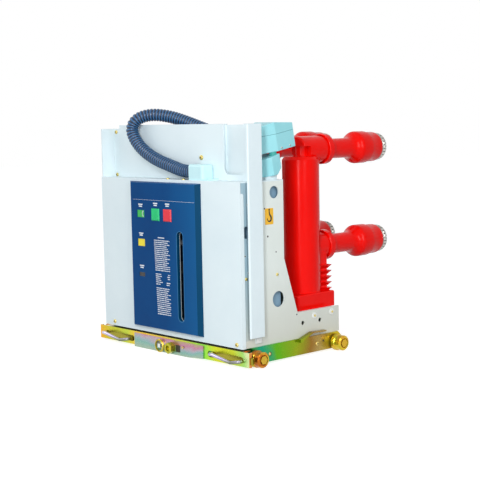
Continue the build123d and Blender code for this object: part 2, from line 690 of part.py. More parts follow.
def button(x):
    """Square push button with a collar behind the cover that stops it."""
    half = BUTTON_SIZE / 2
    stop = half + BUTTON_COLLAR
    seat = COVER_SHEET + RUNNING_GAP
    cap_y = (-PANEL_PROUD - BUTTON_PROUD, seat)
    stop_y = (seat, seat + BUTTON_COLLAR_THICK)
    cap = block((x - half, x + half), cap_y, (BUTTON_Z - half, BUTTON_Z + half))
    cap = chamfer(cap.faces().sort_by(Axis.Y)[0].edges(), BUTTON_CHAMFER)
    collar = block((x - stop, x + stop), stop_y, (BUTTON_Z - stop, BUTTON_Z + stop))
    return cap + collar


def indicator(z, width, height):
    """Flag behind its window, seated on the floor of the recess."""
    floor = WINDOW_DEPTH - PANEL_PROUD
    return window_block(z, width, height, (floor - FLAG_THICK, floor))


def lever_bracket():
    """Bracket behind the cover that carries the charging lever on its pin."""
    inside = LEVER_HUB_HALF + EAR_GAP
    outside = inside + EAR_THICK
    z = (LEVER_PIVOT_Z - EAR_HALF, LEVER_PIVOT_Z + EAR_HALF)
    y = (COVER_SHEET, LEVER_PIVOT_Y + EAR_HALF)
    pin = rod_x(LEVER_PIVOT_Y, LEVER_PIVOT_Z, LEVER_PIN_R,
                (LEVER_SLOT_X - outside - PIN_PROUD, LEVER_SLOT_X + outside + PIN_PROUD))
    for low, high in ((-outside, -inside), (inside, outside)):
        ear = block((LEVER_SLOT_X + low, LEVER_SLOT_X + high), y, z)
        rear_corners = ear.edges().filter_by(Axis.X).group_by(Axis.Y)[-1]
        pin += fillet(rear_corners, EAR_HALF - CUT)
    return pin


def charging_lever():
    """Lever on its hub, at rest against the top of the slot."""
    hub_x = (LEVER_SLOT_X - LEVER_HUB_HALF, LEVER_SLOT_X + LEVER_HUB_HALF)
    arm_x = (LEVER_SLOT_X - LEVER_THICK / 2, LEVER_SLOT_X + LEVER_THICK / 2)
    tip = -LEVER_LENGTH - LEVER_KNOB_PROUD
    hub = rod_x(LEVER_PIVOT_Y, LEVER_PIVOT_Z, LEVER_HUB_R, hub_x)
    arm = block(arm_x, (-LEVER_LENGTH, 0), (-LEVER_HEIGHT / 2, LEVER_HEIGHT / 2))
    knob = rod_y(LEVER_SLOT_X, 0, LEVER_KNOB_R, (tip, tip + LEVER_KNOB_LENGTH))
    turned = Rot(-LEVER_REST_ANGLE, 0, 0) * (arm + knob)
    lever = hub + Pos(0, LEVER_PIVOT_Y, LEVER_PIVOT_Z) * turned
    bore = (hub_x[0] - CUT, hub_x[1] + CUT)
    return lever - rod_x(LEVER_PIVOT_Y, LEVER_PIVOT_Z, LEVER_PIN_R + LEVER_PIN_GAP, bore)


for side, shape in both_sides(side_plate()).items():
    place(f"side_plate_{side}", shape)
place("rear_wall", rear_wall())
place("base_plate", base_plate())
place("top_plate", top_plate())
place("front_cover", front_cover())
place("control_panel", control_panel())
place("close_button", button(CLOSE_BUTTON_X))
place("open_button", button(OPEN_BUTTON_X))
flags = [indicator(z, WINDOW_WIDTH, WINDOW_HEIGHT) for z in (STATE_WINDOW_Z, SPRING_WINDOW_Z)]
place("indicator_flags", Compound(flags))
place("operation_counter", indicator(COUNTER_Z, COUNTER_WIDTH, COUNTER_HEIGHT))
place("lever_bracket", lever_bracket())
place("charging_lever", charging_lever())


# Upper structure

def tall_plate():
    """Upright plate over the housing, flanged, with a round-cornered notch at the right."""
    y = (TALL_PLATE_Y, TALL_PLATE_Y + SHEET)
    plate = block((TALL_PLATE_LEFT, TALL_PLATE_RIGHT), y, (HOUSING_TOP, TALL_PLATE_TOP))
    notch_z = (NOTCH_FOOT, TALL_PLATE_TOP + 2 * NOTCH_R)
    notch = block((NOTCH_LEFT, NOTCH_RIGHT), (y[0] - CUT, y[1] + CUT), notch_z)
    plate -= fillet(notch.edges().filter_by(Axis.Y), NOTCH_R)
    back = y[1] + TALL_FLANGE
    top_z = (TALL_PLATE_TOP - SHEET, TALL_PLATE_TOP)
    plate += block((TALL_PLATE_LEFT, NOTCH_LEFT - POCKET_MARGIN), (y[1], back), top_z)
    plate += block((TALL_PLATE_LEFT, TALL_PLATE_LEFT + SHEET), (y[1], back), (HOUSING_TOP, TALL_PLATE_TOP))
    return plate


def plug_pocket():
    """Shallow pan behind the notch that the plug is stored against."""
    y = (TALL_PLATE_Y + SHEET, TALL_PLATE_Y + SHEET + POCKET_DEPTH)
    x = (NOTCH_LEFT - POCKET_MARGIN, TALL_PLATE_RIGHT)
    z = (HOUSING_TOP, TALL_PLATE_TOP - POST_WALL)
    hollow = block((x[0] + SHEET, x[1] - SHEET), (y[0] - CUT, y[1] - SHEET), (z[0] + SHEET, z[1] + CUT))
    return block(x, y, z) - hollow


def left_post():
    """Angle that carries the tall plate at the left."""
    outer = -SIDE_OUTER
    side = block((outer, outer + SHEET), (COVER_SHEET, TALL_PLATE_Y), (HOUSING_TOP, LEFT_POST_TOP))
    face = block((outer, TALL_PLATE_LEFT), (TALL_PLATE_Y, TALL_PLATE_Y + SHEET), (HOUSING_TOP, LEFT_POST_TOP))
    return side + face


def right_post():
    """Channel with an open front and a lip, screwed to the outside of the right side plate."""
    x = (SIDE_OUTER, SIDE_OUTER + POST_PROUD)
    y = (POST_FRONT, POST_FRONT + POST_DEPTH)
    channel = block(x, y, (POST_FOOT, TALL_PLATE_TOP))
    front_fold = channel.edges().filter_by(Axis.Z).group_by(Axis.Y)[0].group_by(Axis.X)[-1]
    channel = fillet(front_fold, POST_FOLD_R)
    z = (POST_FOOT - CUT, TALL_PLATE_TOP - POST_WALL)
    hollow = block((x[0] - CUT, x[1] - POST_WALL), (y[0] + POST_WALL, y[1] - POST_WALL), z)
    hollow += block((x[0] - CUT, x[1] - POST_LIP), (y[0] - CUT, y[1] - POST_WALL), z)
    tab_y = (y[1] - POST_TAB_WIDTH, y[1])
    tab = block((x[0], x[0] + POST_WALL), tab_y, (POST_FOOT - POST_TAB_DROP, POST_FOOT + POST_TAB_DROP))
    return channel - hollow + tab


def conduit_elbow():
    """Moulded dome on a flanged foot that the conduit leaves to the left."""
    x = (ELBOW_LEFT, ELBOW_RIGHT)
    y = (ELBOW_FRONT, ELBOW_BACK)
    dome = block(x, y, (HOUSING_TOP, HOUSING_TOP + ELBOW_HEIGHT))
    dome = fillet(dome.edges().filter_by(Axis.Z).group_by(Axis.X)[-1], ELBOW_CORNER_R)
    crown = dome.edges().group_by(Axis.Z)[-1].filter_by(lambda e: e.center().X > ELBOW_LEFT + CUT)
    dome = fillet(crown, ELBOW_CROWN_R)
    return dome + block((x[0], ELBOW_FOOT_RIGHT), y, (HOUSING_TOP, HOUSING_TOP + ELBOW_FOOT))


def conduit_route():
    """Points of the conduit: out of the elbow, a loop over the tall plate, into the plug."""
    middle = (ELBOW_FRONT + ELBOW_BACK) / 2
    start_z = HOUSING_TOP + CONDUIT_RISE
    return [(ELBOW_LEFT, middle, start_z), (50, 25, start_z), (-6, 25, 525), (-68, 23, 541),
            (-122, 22, 565), (-158, 20, 594), (-177, 20, 628), (-164, 30, 657), (-132, 57, 669),
            (-88, 88, 663), (-34, 108, 646), (36, 122, 622), (108, 132, 602),
            (172, CONDUIT_PLUG_Y, CONDUIT_PLUG_Z), (PLUG_LEFT, CONDUIT_PLUG_Y, CONDUIT_PLUG_Z)]


def conduit():
    """Corrugated conduit as a plain tube on straight runs joined by tangent arcs."""
    points = [Vector(*p) for p in conduit_route()]
    radii = []
    for before, at, after in zip(points, points[1:], points[2:]):
        turn = radians((at - before).get_angle(after - at))
        shorter = min((at - before).length, (after - at).length)
        radii.append(0.45 * shorter / tan(turn / 2))
    print("conduit bend radii:", [round(r) for r in radii])
    path = FilletPolyline(*points, radius=radii)
    tube = sweep(Plane(origin=points[0], z_dir=path % 0) * Circle(CONDUIT_R), path=path)
    ratio = tube.volume / (pi * CONDUIT_R**2 * path.length)
    print("conduit length", round(path.length), "volume ratio", round(ratio, 4))
    return tube


place("tall_plate", tall_plate())
place("plug_pocket", plug_pocket())
place("left_post", left_post())
place("right_post", right_post())
place("conduit_elbow", conduit_elbow())
place("conduit", conduit())
place("plug_block", leaned(level_block() + plug_latch()))
place("plug_hood", leaned(level_hood()) + hood_collar())


# Embedded poles

def pole(x):
    """Epoxy pole: foot, column with its crown and boss, undercut head, outlet and ribbed spine."""
    foot_top = BASE_FLOOR + POLE_FOOT_HEIGHT
    foot_x = (x - POLE_FOOT_HALF, x + POLE_FOOT_HALF)
    foot = block(foot_x, (POLE_FOOT_FRONT, POLE_FOOT_REAR), (BASE_FLOOR, foot_top))
    foot = fillet(foot.edges().filter_by(Axis.Z), POLE_FOOT_CORNER_R)
    foot = fillet(foot.edges().group_by(Axis.Z)[-1], POLE_FOOT_EDGE_R)
    crown_r = POLE_R - POLE_CROWN_STEP
    crown_top = POLE_TOP + POLE_CROWN
    plane = Plane(origin=(x, POLE_Y, 0), x_dir=(1, 0, 0), z_dir=(0, -1, 0))
    base = foot_top - POLE_FOOT_EDGE_R
    outline = Polyline((0, base), (POLE_R, base), (POLE_R, POLE_TOP), (crown_r, crown_top),
                       (0, crown_top), close=True)
    column = revolve(plane * make_face(outline), Axis((x, POLE_Y, 0), (0, 0, 1)))
    boss_z = (POLE_TOP, HEAD_UNDERCUT_Z + HEAD_EDGE_R)
    boss = Pos(x, POLE_Y + BOSS_SET_BACK, sum(boss_z) / 2) * Cylinder(BOSS_R, boss_z[1] - boss_z[0])
    head = rod_y(x, UPPER_ARM_Z, HEAD_R, (HEAD_FRONT, ARM_ROOT + MOUTH_DEPTH))
    head = fillet(head.edges().group_by(Axis.Y)[0], HEAD_EDGE_R)
    head -= block((x - HEAD_R - CUT, x + HEAD_R + CUT), (HEAD_FRONT - CUT, HEAD_FRONT + HEAD_UNDERCUT),
                  (UPPER_ARM_Z - HEAD_R - CUT, HEAD_UNDERCUT_Z))
    outlet = rod_y(x, LOWER_ARM_Z, HEAD_R, (POLE_Y, ARM_ROOT + MOUTH_DEPTH))
    return foot + column + boss + head + outlet + spine(x, foot_top)


def spine(x, foot_top):
    """Back of the pole below the outlet, with saw-tooth ribs on its three sides."""
    z = (foot_top - POLE_FOOT_EDGE_R, SPINE_TOP)
    body = block((x - SPINE_HALF, x + SPINE_HALF), (POLE_Y, SPINE_REAR), z)
    body = fillet(body.edges().filter_by(Axis.Z).group_by(Axis.Y)[-1], SPINE_EDGE_R)
    depth = SPINE_REAR - POLE_Y
    middle = (POLE_Y + SPINE_REAR) / 2
    for n in range(RIB_COUNT):
        tip = RIB_TOP - n * RIB_PITCH
        narrow = Pos(x, middle, tip - RIB_HEIGHT) * Rectangle(2 * SPINE_HALF, depth)
        wide = Pos(x, middle, tip) * Rectangle(2 * (SPINE_HALF + RIB_REACH), depth + 2 * RIB_REACH)
        body += loft([narrow.face(), wide.face()])
    return body


def arm_sleeve(x, z):
    """Turned insulating sleeve: open mouth over the head, shed, neck and the cup round the contact."""
    cavity = CUP_R - CUP_WALL
    mouth = HEAD_R + MOUTH_GAP
    seat = ARM_ROOT + MOUTH_DEPTH
    shed = (ARM_ROOT + SHED_START, ARM_ROOT + SHED_START + SHED_LENGTH)
    neck = (shed[1] + SHED_FALL, CUP_FRONT - CUP_FLARE)
    band = CUP_REAR - CUP_BAND
    lip = CUP_REAR - CUP_LIP
    outer = CUP_R - CUP_STEP
    fall = (shed[1] + SHED_FALL * FALL_SHARE, SHED_R - CUP_LIP)
    flare = (neck[1] + CUP_FLARE * FLARE_SHARE, NECK_R + CUP_WALL)
    rim = (CUP_REAR - CUP_LIP / 4, CUP_R - CUP_LIP / 4)
    edges = [Line((seat, 0), (seat, mouth)), Line((seat, mouth), (ARM_ROOT, mouth)),
             Line((ARM_ROOT, mouth), (ARM_ROOT, mouth + MOUTH_WALL)),
             Line((ARM_ROOT, mouth + MOUTH_WALL), (shed[0], SHED_R)),
             Line((shed[0], SHED_R), (shed[1], SHED_R - CUP_STEP)),
             ThreePointArc((shed[1], SHED_R - CUP_STEP), fall, (neck[0], NECK_R)),
             Line((neck[0], NECK_R), (neck[1], NECK_R)),
             ThreePointArc((neck[1], NECK_R), flare, (CUP_FRONT, outer)),
             Line((CUP_FRONT, outer), (band - CUP_STEP, outer)),
             Line((band - CUP_STEP, outer), (band, CUP_R)),
             Line((band, CUP_R), (lip, CUP_R)),
             ThreePointArc((lip, CUP_R), rim, (CUP_REAR, cavity + CUP_STEP)),
             Line((CUP_REAR, cavity + CUP_STEP), (CUP_REAR, cavity)),
             Line((CUP_REAR, cavity), (CUP_FLOOR, cavity)),
             Line((CUP_FLOOR, cavity), (CUP_FLOOR, 0)),
             Line((CUP_FLOOR, 0), (seat, 0))]
    return turned_y(edges, x, z)


def contact(x, z):
    """Tulip contact: a turned hub and ring, slit from outside into a ring of fingers."""
    outer = CUP_R - CUP_WALL - CONTACT_GAP
    hub = CUP_FLOOR + CONTACT_HUB
    outline = Polyline((CUP_FLOOR, 0), (CUP_FLOOR, outer - CONTACT_WAIST), (CUP_FLOOR + CONTACT_TAPER, outer),
                       (CONTACT_REAR - CONTACT_NOSE, outer), (CONTACT_REAR, outer - CONTACT_NOSE),
                       (CONTACT_REAR, CONTACT_BORE_R + CONTACT_LEAD),
                       (CONTACT_REAR - CONTACT_LEAD, CONTACT_BORE_R),
                       (hub, CONTACT_BORE_R), (hub, 0), close=True)
    body = turned_y(outline, x, z)
    slit = block((-FINGER_SLIT / 2, FINGER_SLIT / 2), (hub, CONTACT_REAR + CUT),
                 (CONTACT_BORE_R + CONTACT_LEAD, outer + CUT))
    turns = [Rot(0, 360 * n / FINGER_COUNT, 0) * slit for n in range(FINGER_COUNT)]
    return body - Pos(x, 0, z) * Compound(turns)


for phase, pole_x in POLES.items():
    place(f"pole_{phase}", pole(pole_x))
    place(f"upper_arm_{phase}", arm_sleeve(pole_x, UPPER_ARM_Z))
    place(f"lower_arm_{phase}", arm_sleeve(pole_x, LOWER_ARM_Z))
for level, arm_z in {"upper": UPPER_ARM_Z, "lower": LOWER_ARM_Z}.items():
    place(f"{level}_contacts", Compound([contact(pole_x, arm_z) for pole_x in POLES.values()]))
print("origin is", round(MIDDLE_Y, 2), "mm behind the cover's face")
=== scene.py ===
import math
import random
import bmesh
import bpy
from mathutils import Matrix, Vector


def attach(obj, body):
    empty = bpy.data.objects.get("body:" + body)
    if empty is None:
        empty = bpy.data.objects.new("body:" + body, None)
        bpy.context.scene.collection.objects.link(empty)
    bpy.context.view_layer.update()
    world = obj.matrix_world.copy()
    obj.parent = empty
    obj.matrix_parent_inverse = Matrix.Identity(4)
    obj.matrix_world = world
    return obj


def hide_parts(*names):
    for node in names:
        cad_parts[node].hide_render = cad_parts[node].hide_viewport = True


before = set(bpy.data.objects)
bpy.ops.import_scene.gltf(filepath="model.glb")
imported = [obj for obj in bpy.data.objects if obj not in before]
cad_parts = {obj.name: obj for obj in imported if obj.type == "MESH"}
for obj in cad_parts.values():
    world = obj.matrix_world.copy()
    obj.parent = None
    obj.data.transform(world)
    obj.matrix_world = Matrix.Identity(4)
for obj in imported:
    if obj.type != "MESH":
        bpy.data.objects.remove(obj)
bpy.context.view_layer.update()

# Camera to the right of the breaker's front and a little above its middle,
# with a long lens that is turned by about one degree.
camera_data = bpy.data.cameras.new("camera")
camera_data.lens = 87.55
camera_data.sensor_width = 36.0
camera = bpy.data.objects.new("camera", camera_data)
bpy.context.scene.collection.objects.link(camera)
camera_place = (2.50976, -2.34259, 0.65535)
azimuth, elevation, roll = 0.827407819, 0.104675487, -0.0196630142
backward = Vector((math.sin(azimuth) * math.cos(elevation),
                   -math.cos(azimuth) * math.cos(elevation),
                   math.sin(elevation)))
level = (-backward).cross(Vector((0, 0, 1))).normalized()
upward = level.cross(-backward)
across = level * math.cos(roll) + upward * math.sin(roll)
above = -level * math.sin(roll) + upward * math.cos(roll)
turn = Matrix((across, above, backward)).transposed().to_4x4()
camera.matrix_world = Matrix.Translation(camera_place) @ turn
bpy.context.scene.camera = camera
bpy.context.scene.view_settings.view_transform = "Standard"

# Corrugated conduit of dark blue plastic. It leaves the elbow to the left,
# loops up and back over the tall plate and ends in the hood of the plug.
route = [(0.093, -0.28375, 0.5105), (0.050, -0.28375, 0.5105), (-0.006, -0.28375, 0.525),
         (-0.068, -0.28575, 0.541), (-0.122, -0.28675, 0.565), (-0.158, -0.28875, 0.594),
         (-0.177, -0.28875, 0.628), (-0.164, -0.27875, 0.657), (-0.132, -0.25175, 0.669),
         (-0.088, -0.22075, 0.663), (-0.034, -0.20075, 0.646), (0.036, -0.18675, 0.622),
         (0.108, -0.17675, 0.602), (0.172, -0.17075, 0.596), (0.225, -0.17075, 0.596)]
ring_pitch = 0.0090
ring_profile = (0.0157, 0.0157, 0.0175, 0.0180, 0.0180, 0.0175)
ring_groove = (1.0, 1.0, 0.7, 0.0, 0.0, 0.7)


def line_points(name, points):
    """Points of the smooth spline that has the route as its control points."""
    curve = bpy.data.curves.new(name, "CURVE")
    curve.dimensions = "3D"
    curve.resolution_u = 24
    spline = curve.splines.new("NURBS")
    spline.points.add(len(points) - 1)
    for point, place in zip(spline.points, points):
        point.co = (*place, 1)
    spline.order_u = 3
    spline.use_endpoint_u = True
    holder = bpy.data.objects.new(name, curve)
    mesh = bpy.data.meshes.new_from_object(holder)
    found = [v.co.copy() for v in mesh.vertices]
    bpy.data.meshes.remove(mesh)
    bpy.data.objects.remove(holder)
    bpy.data.curves.remove(curve)
    return found


def even_steps(points, step):
    """Places and directions along a line of points, at equal distances."""
    lengths = [0.0]
    for a, b in zip(points, points[1:]):
        lengths.append(lengths[-1] + (b - a).length)
    count = round(lengths[-1] / step)
    found, at = [], 0
    for n in range(count + 1):
        want = lengths[-1] * n / count
        while at < len(points) - 2 and lengths[at + 1] < want:
            at += 1
        a, b = points[at], points[at + 1]
        found.append(a.lerp(b, (want - lengths[at]) / (b - a).length))
    ways = [(found[min(n + 1, count)] - found[max(n - 1, 0)]).normalized() for n in range(count + 1)]
    return found, ways


def keep(name, bm, body, materials, smooth=40):
    """Turns a bmesh into a piece that rides on a body, in the finish of a slot."""
    mesh = bpy.data.meshes.new(name)
    bm.to_mesh(mesh)
    bm.free()
    for material in materials:
        mesh.materials.append(material)
    piece = bpy.data.objects.new(name, mesh)
    bpy.context.scene.collection.objects.link(piece)
    if smooth:
        for face in mesh.polygons:
            face.use_smooth = True
        mesh.set_sharp_from_angle(angle=math.radians(smooth))
    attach(piece, body)
    return piece


centre_line = line_points("conduit_line", route)
stations, headings = even_steps(centre_line, ring_pitch / len(ring_profile))
bm = bmesh.new()
groove = bm.verts.layers.float.new("groove")
ring = bmesh.ops.create_circle(bm, segments=28, radius=1.0)["verts"]
turned = headings[0].to_track_quat("Z", "Y").to_matrix().to_4x4()
for vert in ring:
    vert[groove] = ring_groove[0]
placed = Matrix.Translation(stations[0]) @ turned @ Matrix.Scale(ring_profile[0], 4)
bmesh.ops.transform(bm, matrix=placed, verts=ring)
edges = bm.edges[:]
for n in range(1, len(stations)):
    turned = headings[n - 1].rotation_difference(headings[n]).to_matrix().to_4x4() @ turned
    extruded = bmesh.ops.extrude_edge_only(bm, edges=edges)["geom"]
    edges = [g for g in extruded if isinstance(g, bmesh.types.BMEdge)]
    verts = [g for g in extruded if isinstance(g, bmesh.types.BMVert)]
    phase = n % len(ring_profile)
    moved = Matrix.Translation(stations[n]) @ turned @ Matrix.Scale(ring_profile[phase], 4)
    bmesh.ops.transform(bm, matrix=moved @ placed.inverted(), verts=verts)
    for vert in verts:
        vert[groove] = ring_groove[phase]
    placed = moved
bmesh.ops.holes_fill(bm, edges=[e for e in bm.edges if e.is_boundary], sides=0)
bmesh.ops.recalc_face_normals(bm, faces=bm.faces[:])


def shader_group(name, inputs, outputs):
    """Empty node group with named sockets, and its two end nodes."""
    group = bpy.data.node_groups.new(name, "ShaderNodeTree")
    for label, value in inputs:
        group.interface.new_socket(label, in_out="INPUT", socket_type="NodeSocketFloat").default_value = value
    for label, kind in outputs:
        group.interface.new_socket(label, in_out="OUTPUT", socket_type=kind)
    return group, group.nodes.new("NodeGroupInput"), group.nodes.new("NodeGroupOutput")


def chain(tree, kind, values=None, links=None, **settings):
    """Adds a node, with its settings, socket values and incoming links."""
    node = tree.nodes.new(kind)
    for key, value in settings.items():
        setattr(node, key, value)
    for key, value in (values or {}).items():
        node.inputs[key].default_value = value
    for key, source in (links or {}).items():
        tree.links.new(source, node.inputs[key])
    return node


# Fine grain with slow clouds of tone: the height drives bump, and the cloud
# drives colour and roughness. Every finish on the breaker uses it.
grain_group, grain_in, grain_out = shader_group(
    "fine_grain", [("Scale", 600.0), ("Cloud Scale", 9.0)],
    [("Height", "NodeSocketFloat"), ("Cloud", "NodeSocketFloat")])
where = chain(grain_group, "ShaderNodeTexCoord")
fine = chain(grain_group, "ShaderNodeTexNoise", {"Detail": 3.0},
             {"Vector": where.outputs["Object"], "Scale": grain_in.outputs["Scale"]})
slow = chain(grain_group, "ShaderNodeTexNoise", {"Detail": 5.0, "Roughness": 0.6},
             {"Vector": where.outputs["Object"], "Scale": grain_in.outputs["Cloud Scale"]})
spread = chain(grain_group, "ShaderNodeMapRange", {"From Min": 0.3, "From Max": 0.7},
               {"Value": slow.outputs["Fac"]})
grain_group.links.new(fine.outputs["Fac"], grain_out.inputs["Height"])
grain_group.links.new(spread.outputs["Result"], grain_out.inputs["Cloud"])

# Edges for wear and painted highlight: the mask is where the surface turns within the given radius, broken up
# by noise.
edge_group, edge_in, edge_out = shader_group(
    "edge_wear_and_highlight", [("Radius", 0.0012), ("Break", 160.0)], [("Mask", "NodeSocketFloat")])
rounded = chain(edge_group, "ShaderNodeBevel", links={"Radius": edge_in.outputs["Radius"]}, samples=4)
shape = chain(edge_group, "ShaderNodeNewGeometry")
same = chain(edge_group, "ShaderNodeVectorMath", operation="DOT_PRODUCT")
edge_group.links.new(rounded.outputs["Normal"], same.inputs[0])
edge_group.links.new(shape.outputs["Normal"], same.inputs[1])
bent = chain(edge_group, "ShaderNodeMapRange", {"From Min": 0.985, "From Max": 0.80},
             {"Value": same.outputs["Value"]})
edge_where = chain(edge_group, "ShaderNodeTexCoord")
broken = chain(edge_group, "ShaderNodeTexNoise", {"Detail": 4.0},
               {"Vector": edge_where.outputs["Object"], "Scale": edge_in.outputs["Break"]})
patchy = chain(edge_group, "ShaderNodeMapRange", {"From Min": 0.42, "From Max": 0.6},
               {"Value": broken.outputs["Fac"]})
both = chain(edge_group, "ShaderNodeMath", operation="MULTIPLY")
edge_group.links.new(bent.outputs["Result"], both.inputs[0])
edge_group.links.new(patchy.outputs["Result"], both.inputs[1])
edge_group.links.new(both.outputs["Value"], edge_out.inputs["Mask"])


def finish(name, low, high, rough, grain=600.0, bump=0.0002, cloud=9.0, metallic=0.0, wear_and_highlight=None,
           edge_width=0.0012, specular=0.5):
    """Finish whose tone drifts from low to high, with grain; an edge colour shows along the edges: worn paint
    on the sheet steel, a painted highlight on the moulded plastics.
    """
    material = bpy.data.materials.new(name)
    material.use_nodes = True
    tree = material.node_tree
    shader = tree.nodes["Principled BSDF"]
    shader.inputs["Metallic"].default_value = metallic
    shader.inputs["Specular IOR Level"].default_value = specular
    pattern = chain(tree, "ShaderNodeGroup", {"Scale": grain, "Cloud Scale": cloud}, node_tree=grain_group)
    tone = chain(tree, "ShaderNodeMix", {6: (*low, 1), 7: (*high, 1)}, {"Factor": pattern.outputs["Cloud"]},
                 data_type="RGBA")
    colour = tone.outputs[2]
    if wear_and_highlight:
        edges_node = chain(tree, "ShaderNodeGroup", {"Radius": edge_width}, node_tree=edge_group)
        edge_layer = chain(tree, "ShaderNodeMix", {7: (*wear_and_highlight, 1)}, {"Factor": edges_node.outputs["Mask"], 6: colour},
                    data_type="RGBA")
        colour = edge_layer.outputs[2]
    tree.links.new(colour, shader.inputs["Base Color"])
    drift = chain(tree, "ShaderNodeMapRange", {"To Min": rough * 0.85, "To Max": rough * 1.2},
                  {"Value": pattern.outputs["Cloud"]})
    tree.links.new(drift.outputs["Result"], shader.inputs["Roughness"])
    relief = chain(tree, "ShaderNodeBump", {"Strength": 0.5, "Distance": bump},
                   {"Height": pattern.outputs["Height"]})
    tree.links.new(relief.outputs["Normal"], shader.inputs["Normal"])
    return material


def stain(material, shown, colour, amount=1.0):
    """Lays one colour over a finish where a mask is white."""
    tree = material.node_tree
    shader = tree.nodes["Principled BSDF"]
    under = shader.inputs["Base Color"].links[0].from_socket
    weight = chain(tree, "ShaderNodeMath", {1: amount}, {0: shown}, operation="MULTIPLY")
    layer = chain(tree, "ShaderNodeMix", {7: (*colour, 1)}, {"Factor": weight.outputs["Value"], 6: under},
                  data_type="RGBA")
    tree.links.new(layer.outputs[2], shader.inputs["Base Color"])


conduit_blue = finish("conduit_blue", (0.022, 0.110, 0.270), (0.035, 0.150, 0.340), 0.26, grain=900)
# The valleys between the rings are painted near black: the shade that falls in them.
painted_valley_shade = chain(conduit_blue.node_tree, "ShaderNodeAttribute", attribute_name="groove")
stain(conduit_blue, painted_valley_shade.outputs["Fac"], (0.001, 0.006, 0.026), 0.98)
conduit = keep("conduit_corrugated", bm, "breaker", [conduit_blue], smooth=60)
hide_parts("conduit")

# Housing of folded sheet steel with a pale satin powder coat, its posts and
# the tall plate. The coat is rubbed through to a duller tone along the folds.
front = -0.30875
side_face = 0.2985
housing_low, housing_high, housing_worn = (0.72, 0.83, 0.87), (0.78, 0.88, 0.91), (0.62, 0.70, 0.72)
housing_paint = finish("housing_paint", housing_low, housing_high, 0.38, grain=420, bump=0.00012, cloud=5.0,
                       wear_and_highlight=housing_worn, specular=0.35)
for node in ("rear_wall", "base_plate", "top_plate", "front_cover", "tall_plate", "plug_pocket", "left_post",
             "right_post"):
    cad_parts[node].data.materials[0] = housing_paint

# Side plates in a warmer coat that is duller low down. Their front strip, in front of the posts, is painted a
# darker blue grey: the shade that the proud posts cast there.
strip_edge = front + 0.0330
side_paint = finish("side_paint", (0.74, 0.80, 0.76), (0.80, 0.86, 0.82), 0.38, grain=420, bump=0.00012,
                    cloud=5.0, wear_and_highlight=housing_worn, specular=0.3)


def place_parts(material):
    """X, Y and Z of the place on the piece, for a mask in its material."""
    tree = material.node_tree
    place = chain(tree, "ShaderNodeTexCoord").outputs["Object"]
    return chain(tree, "ShaderNodeSeparateXYZ", links={"Vector": place}).outputs


def facing_parts(material):
    """X, Y and Z of the way that the surface faces, for a mask in its material."""
    tree = material.node_tree
    way = chain(tree, "ShaderNodeNewGeometry").outputs["Normal"]
    return chain(tree, "ShaderNodeSeparateXYZ", links={"Vector": way}).outputs


def mask(material, value, black, white):
    """Mask that runs from black at one value to white at another."""
    return chain(material.node_tree, "ShaderNodeMapRange", {"From Min": black, "From Max": white},
                 {"Value": value}).outputs["Result"]


# Painted shade: the strip in front of the posts is darkened to blue grey.
place = place_parts(side_paint)
ahead = mask(side_paint, place["Y"], strip_edge, strip_edge - 0.0008)
over = mask(side_paint, place["Z"], 0.0700, 0.0712)
strip_shade = chain(side_paint.node_tree, "ShaderNodeMath", links={0: ahead, 1: over}, operation="MULTIPLY")
stain(side_paint, strip_shade.outputs["Value"], (0.36, 0.52, 0.60))
stain(side_paint, mask(side_paint, place["Z"], 0.260, 0.060), (0.62, 0.62, 0.54), 0.7)
for node in ("side_plate_left", "side_plate_right"):
    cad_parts[node].data.materials[0] = side_paint

# Inner frame of the mechanism: a sheet with folded edges behind each side plate, seen through its holes, in a
# blue grey that is the housing's coat painted darker as the shade inside; and a box painted near black round
# the lever, as the shade in its slot.
inner_foot, inner_height = 0.075, 0.405
channel_section = ((0.2870, 0.0060), (0.2870, 0.1545), (0.2690, 0.1545), (0.2690, 0.1525),
                   (0.2850, 0.1525), (0.2850, 0.0080), (0.2690, 0.0080), (0.2690, 0.0060))
inner_shade_grey = finish("inner_shade_grey", (0.20, 0.34, 0.46), (0.26, 0.41, 0.54), 0.42, grain=420, cloud=6.0,
                    specular=0.3)


def push_out(bm, faces, by):
    """Pushes faces out along a vector, which gives them a thickness."""
    pushed = bmesh.ops.extrude_face_region(bm, geom=faces)["geom"]
    bmesh.ops.translate(bm, vec=by, verts=[g for g in pushed if isinstance(g, bmesh.types.BMVert)])


def add_block(bm, place, size):
    """Adds a block of a size, centred on a place, and returns its corners."""
    sized = Matrix.Translation(place) @ Matrix.Diagonal((*size, 1))
    return bmesh.ops.create_cube(bm, size=1.0, matrix=sized)["verts"]


def ease(bm, edges, width, segments):
    """Rounds edges by a width."""
    bmesh.ops.bevel(bm, geom=edges, offset=width, affect="EDGES", segments=segments, profile=0.5, material=-1)


bm = bmesh.new()
for side in (1, -1):
    channel = bm.faces.new([bm.verts.new((side * x, front + y, inner_foot)) for x, y in channel_section])
    push_out(bm, [channel], (0, 0, inner_height))
bmesh.ops.recalc_face_normals(bm, faces=bm.faces[:])
keep("inner_frame", bm, "breaker", [inner_shade_grey], smooth=0)
slot_x = 0.0655
box_middle, box_size = (slot_x, front + 0.0555, 0.2230), (0.0630, 0.1010, 0.2860)
# The box is painted near black: the shade inside the slot of the lever.
slot_shade_box = finish("slot_shade_box", (0.008, 0.012, 0.026), (0.016, 0.020, 0.038), 0.5, specular=0.3)
bm = bmesh.new()
add_block(bm, box_middle, box_size)
mouth = [f for f in bm.faces if f.calc_center_median().y < front + 0.006]
bmesh.ops.delete(bm, geom=mouth, context="FACES")
bmesh.ops.solidify(bm, geom=bm.faces[:], thickness=0.0010)
bmesh.ops.recalc_face_normals(bm, faces=bm.faces[:])
keep("lever_slot_shade", bm, "breaker", [slot_shade_box], smooth=0)
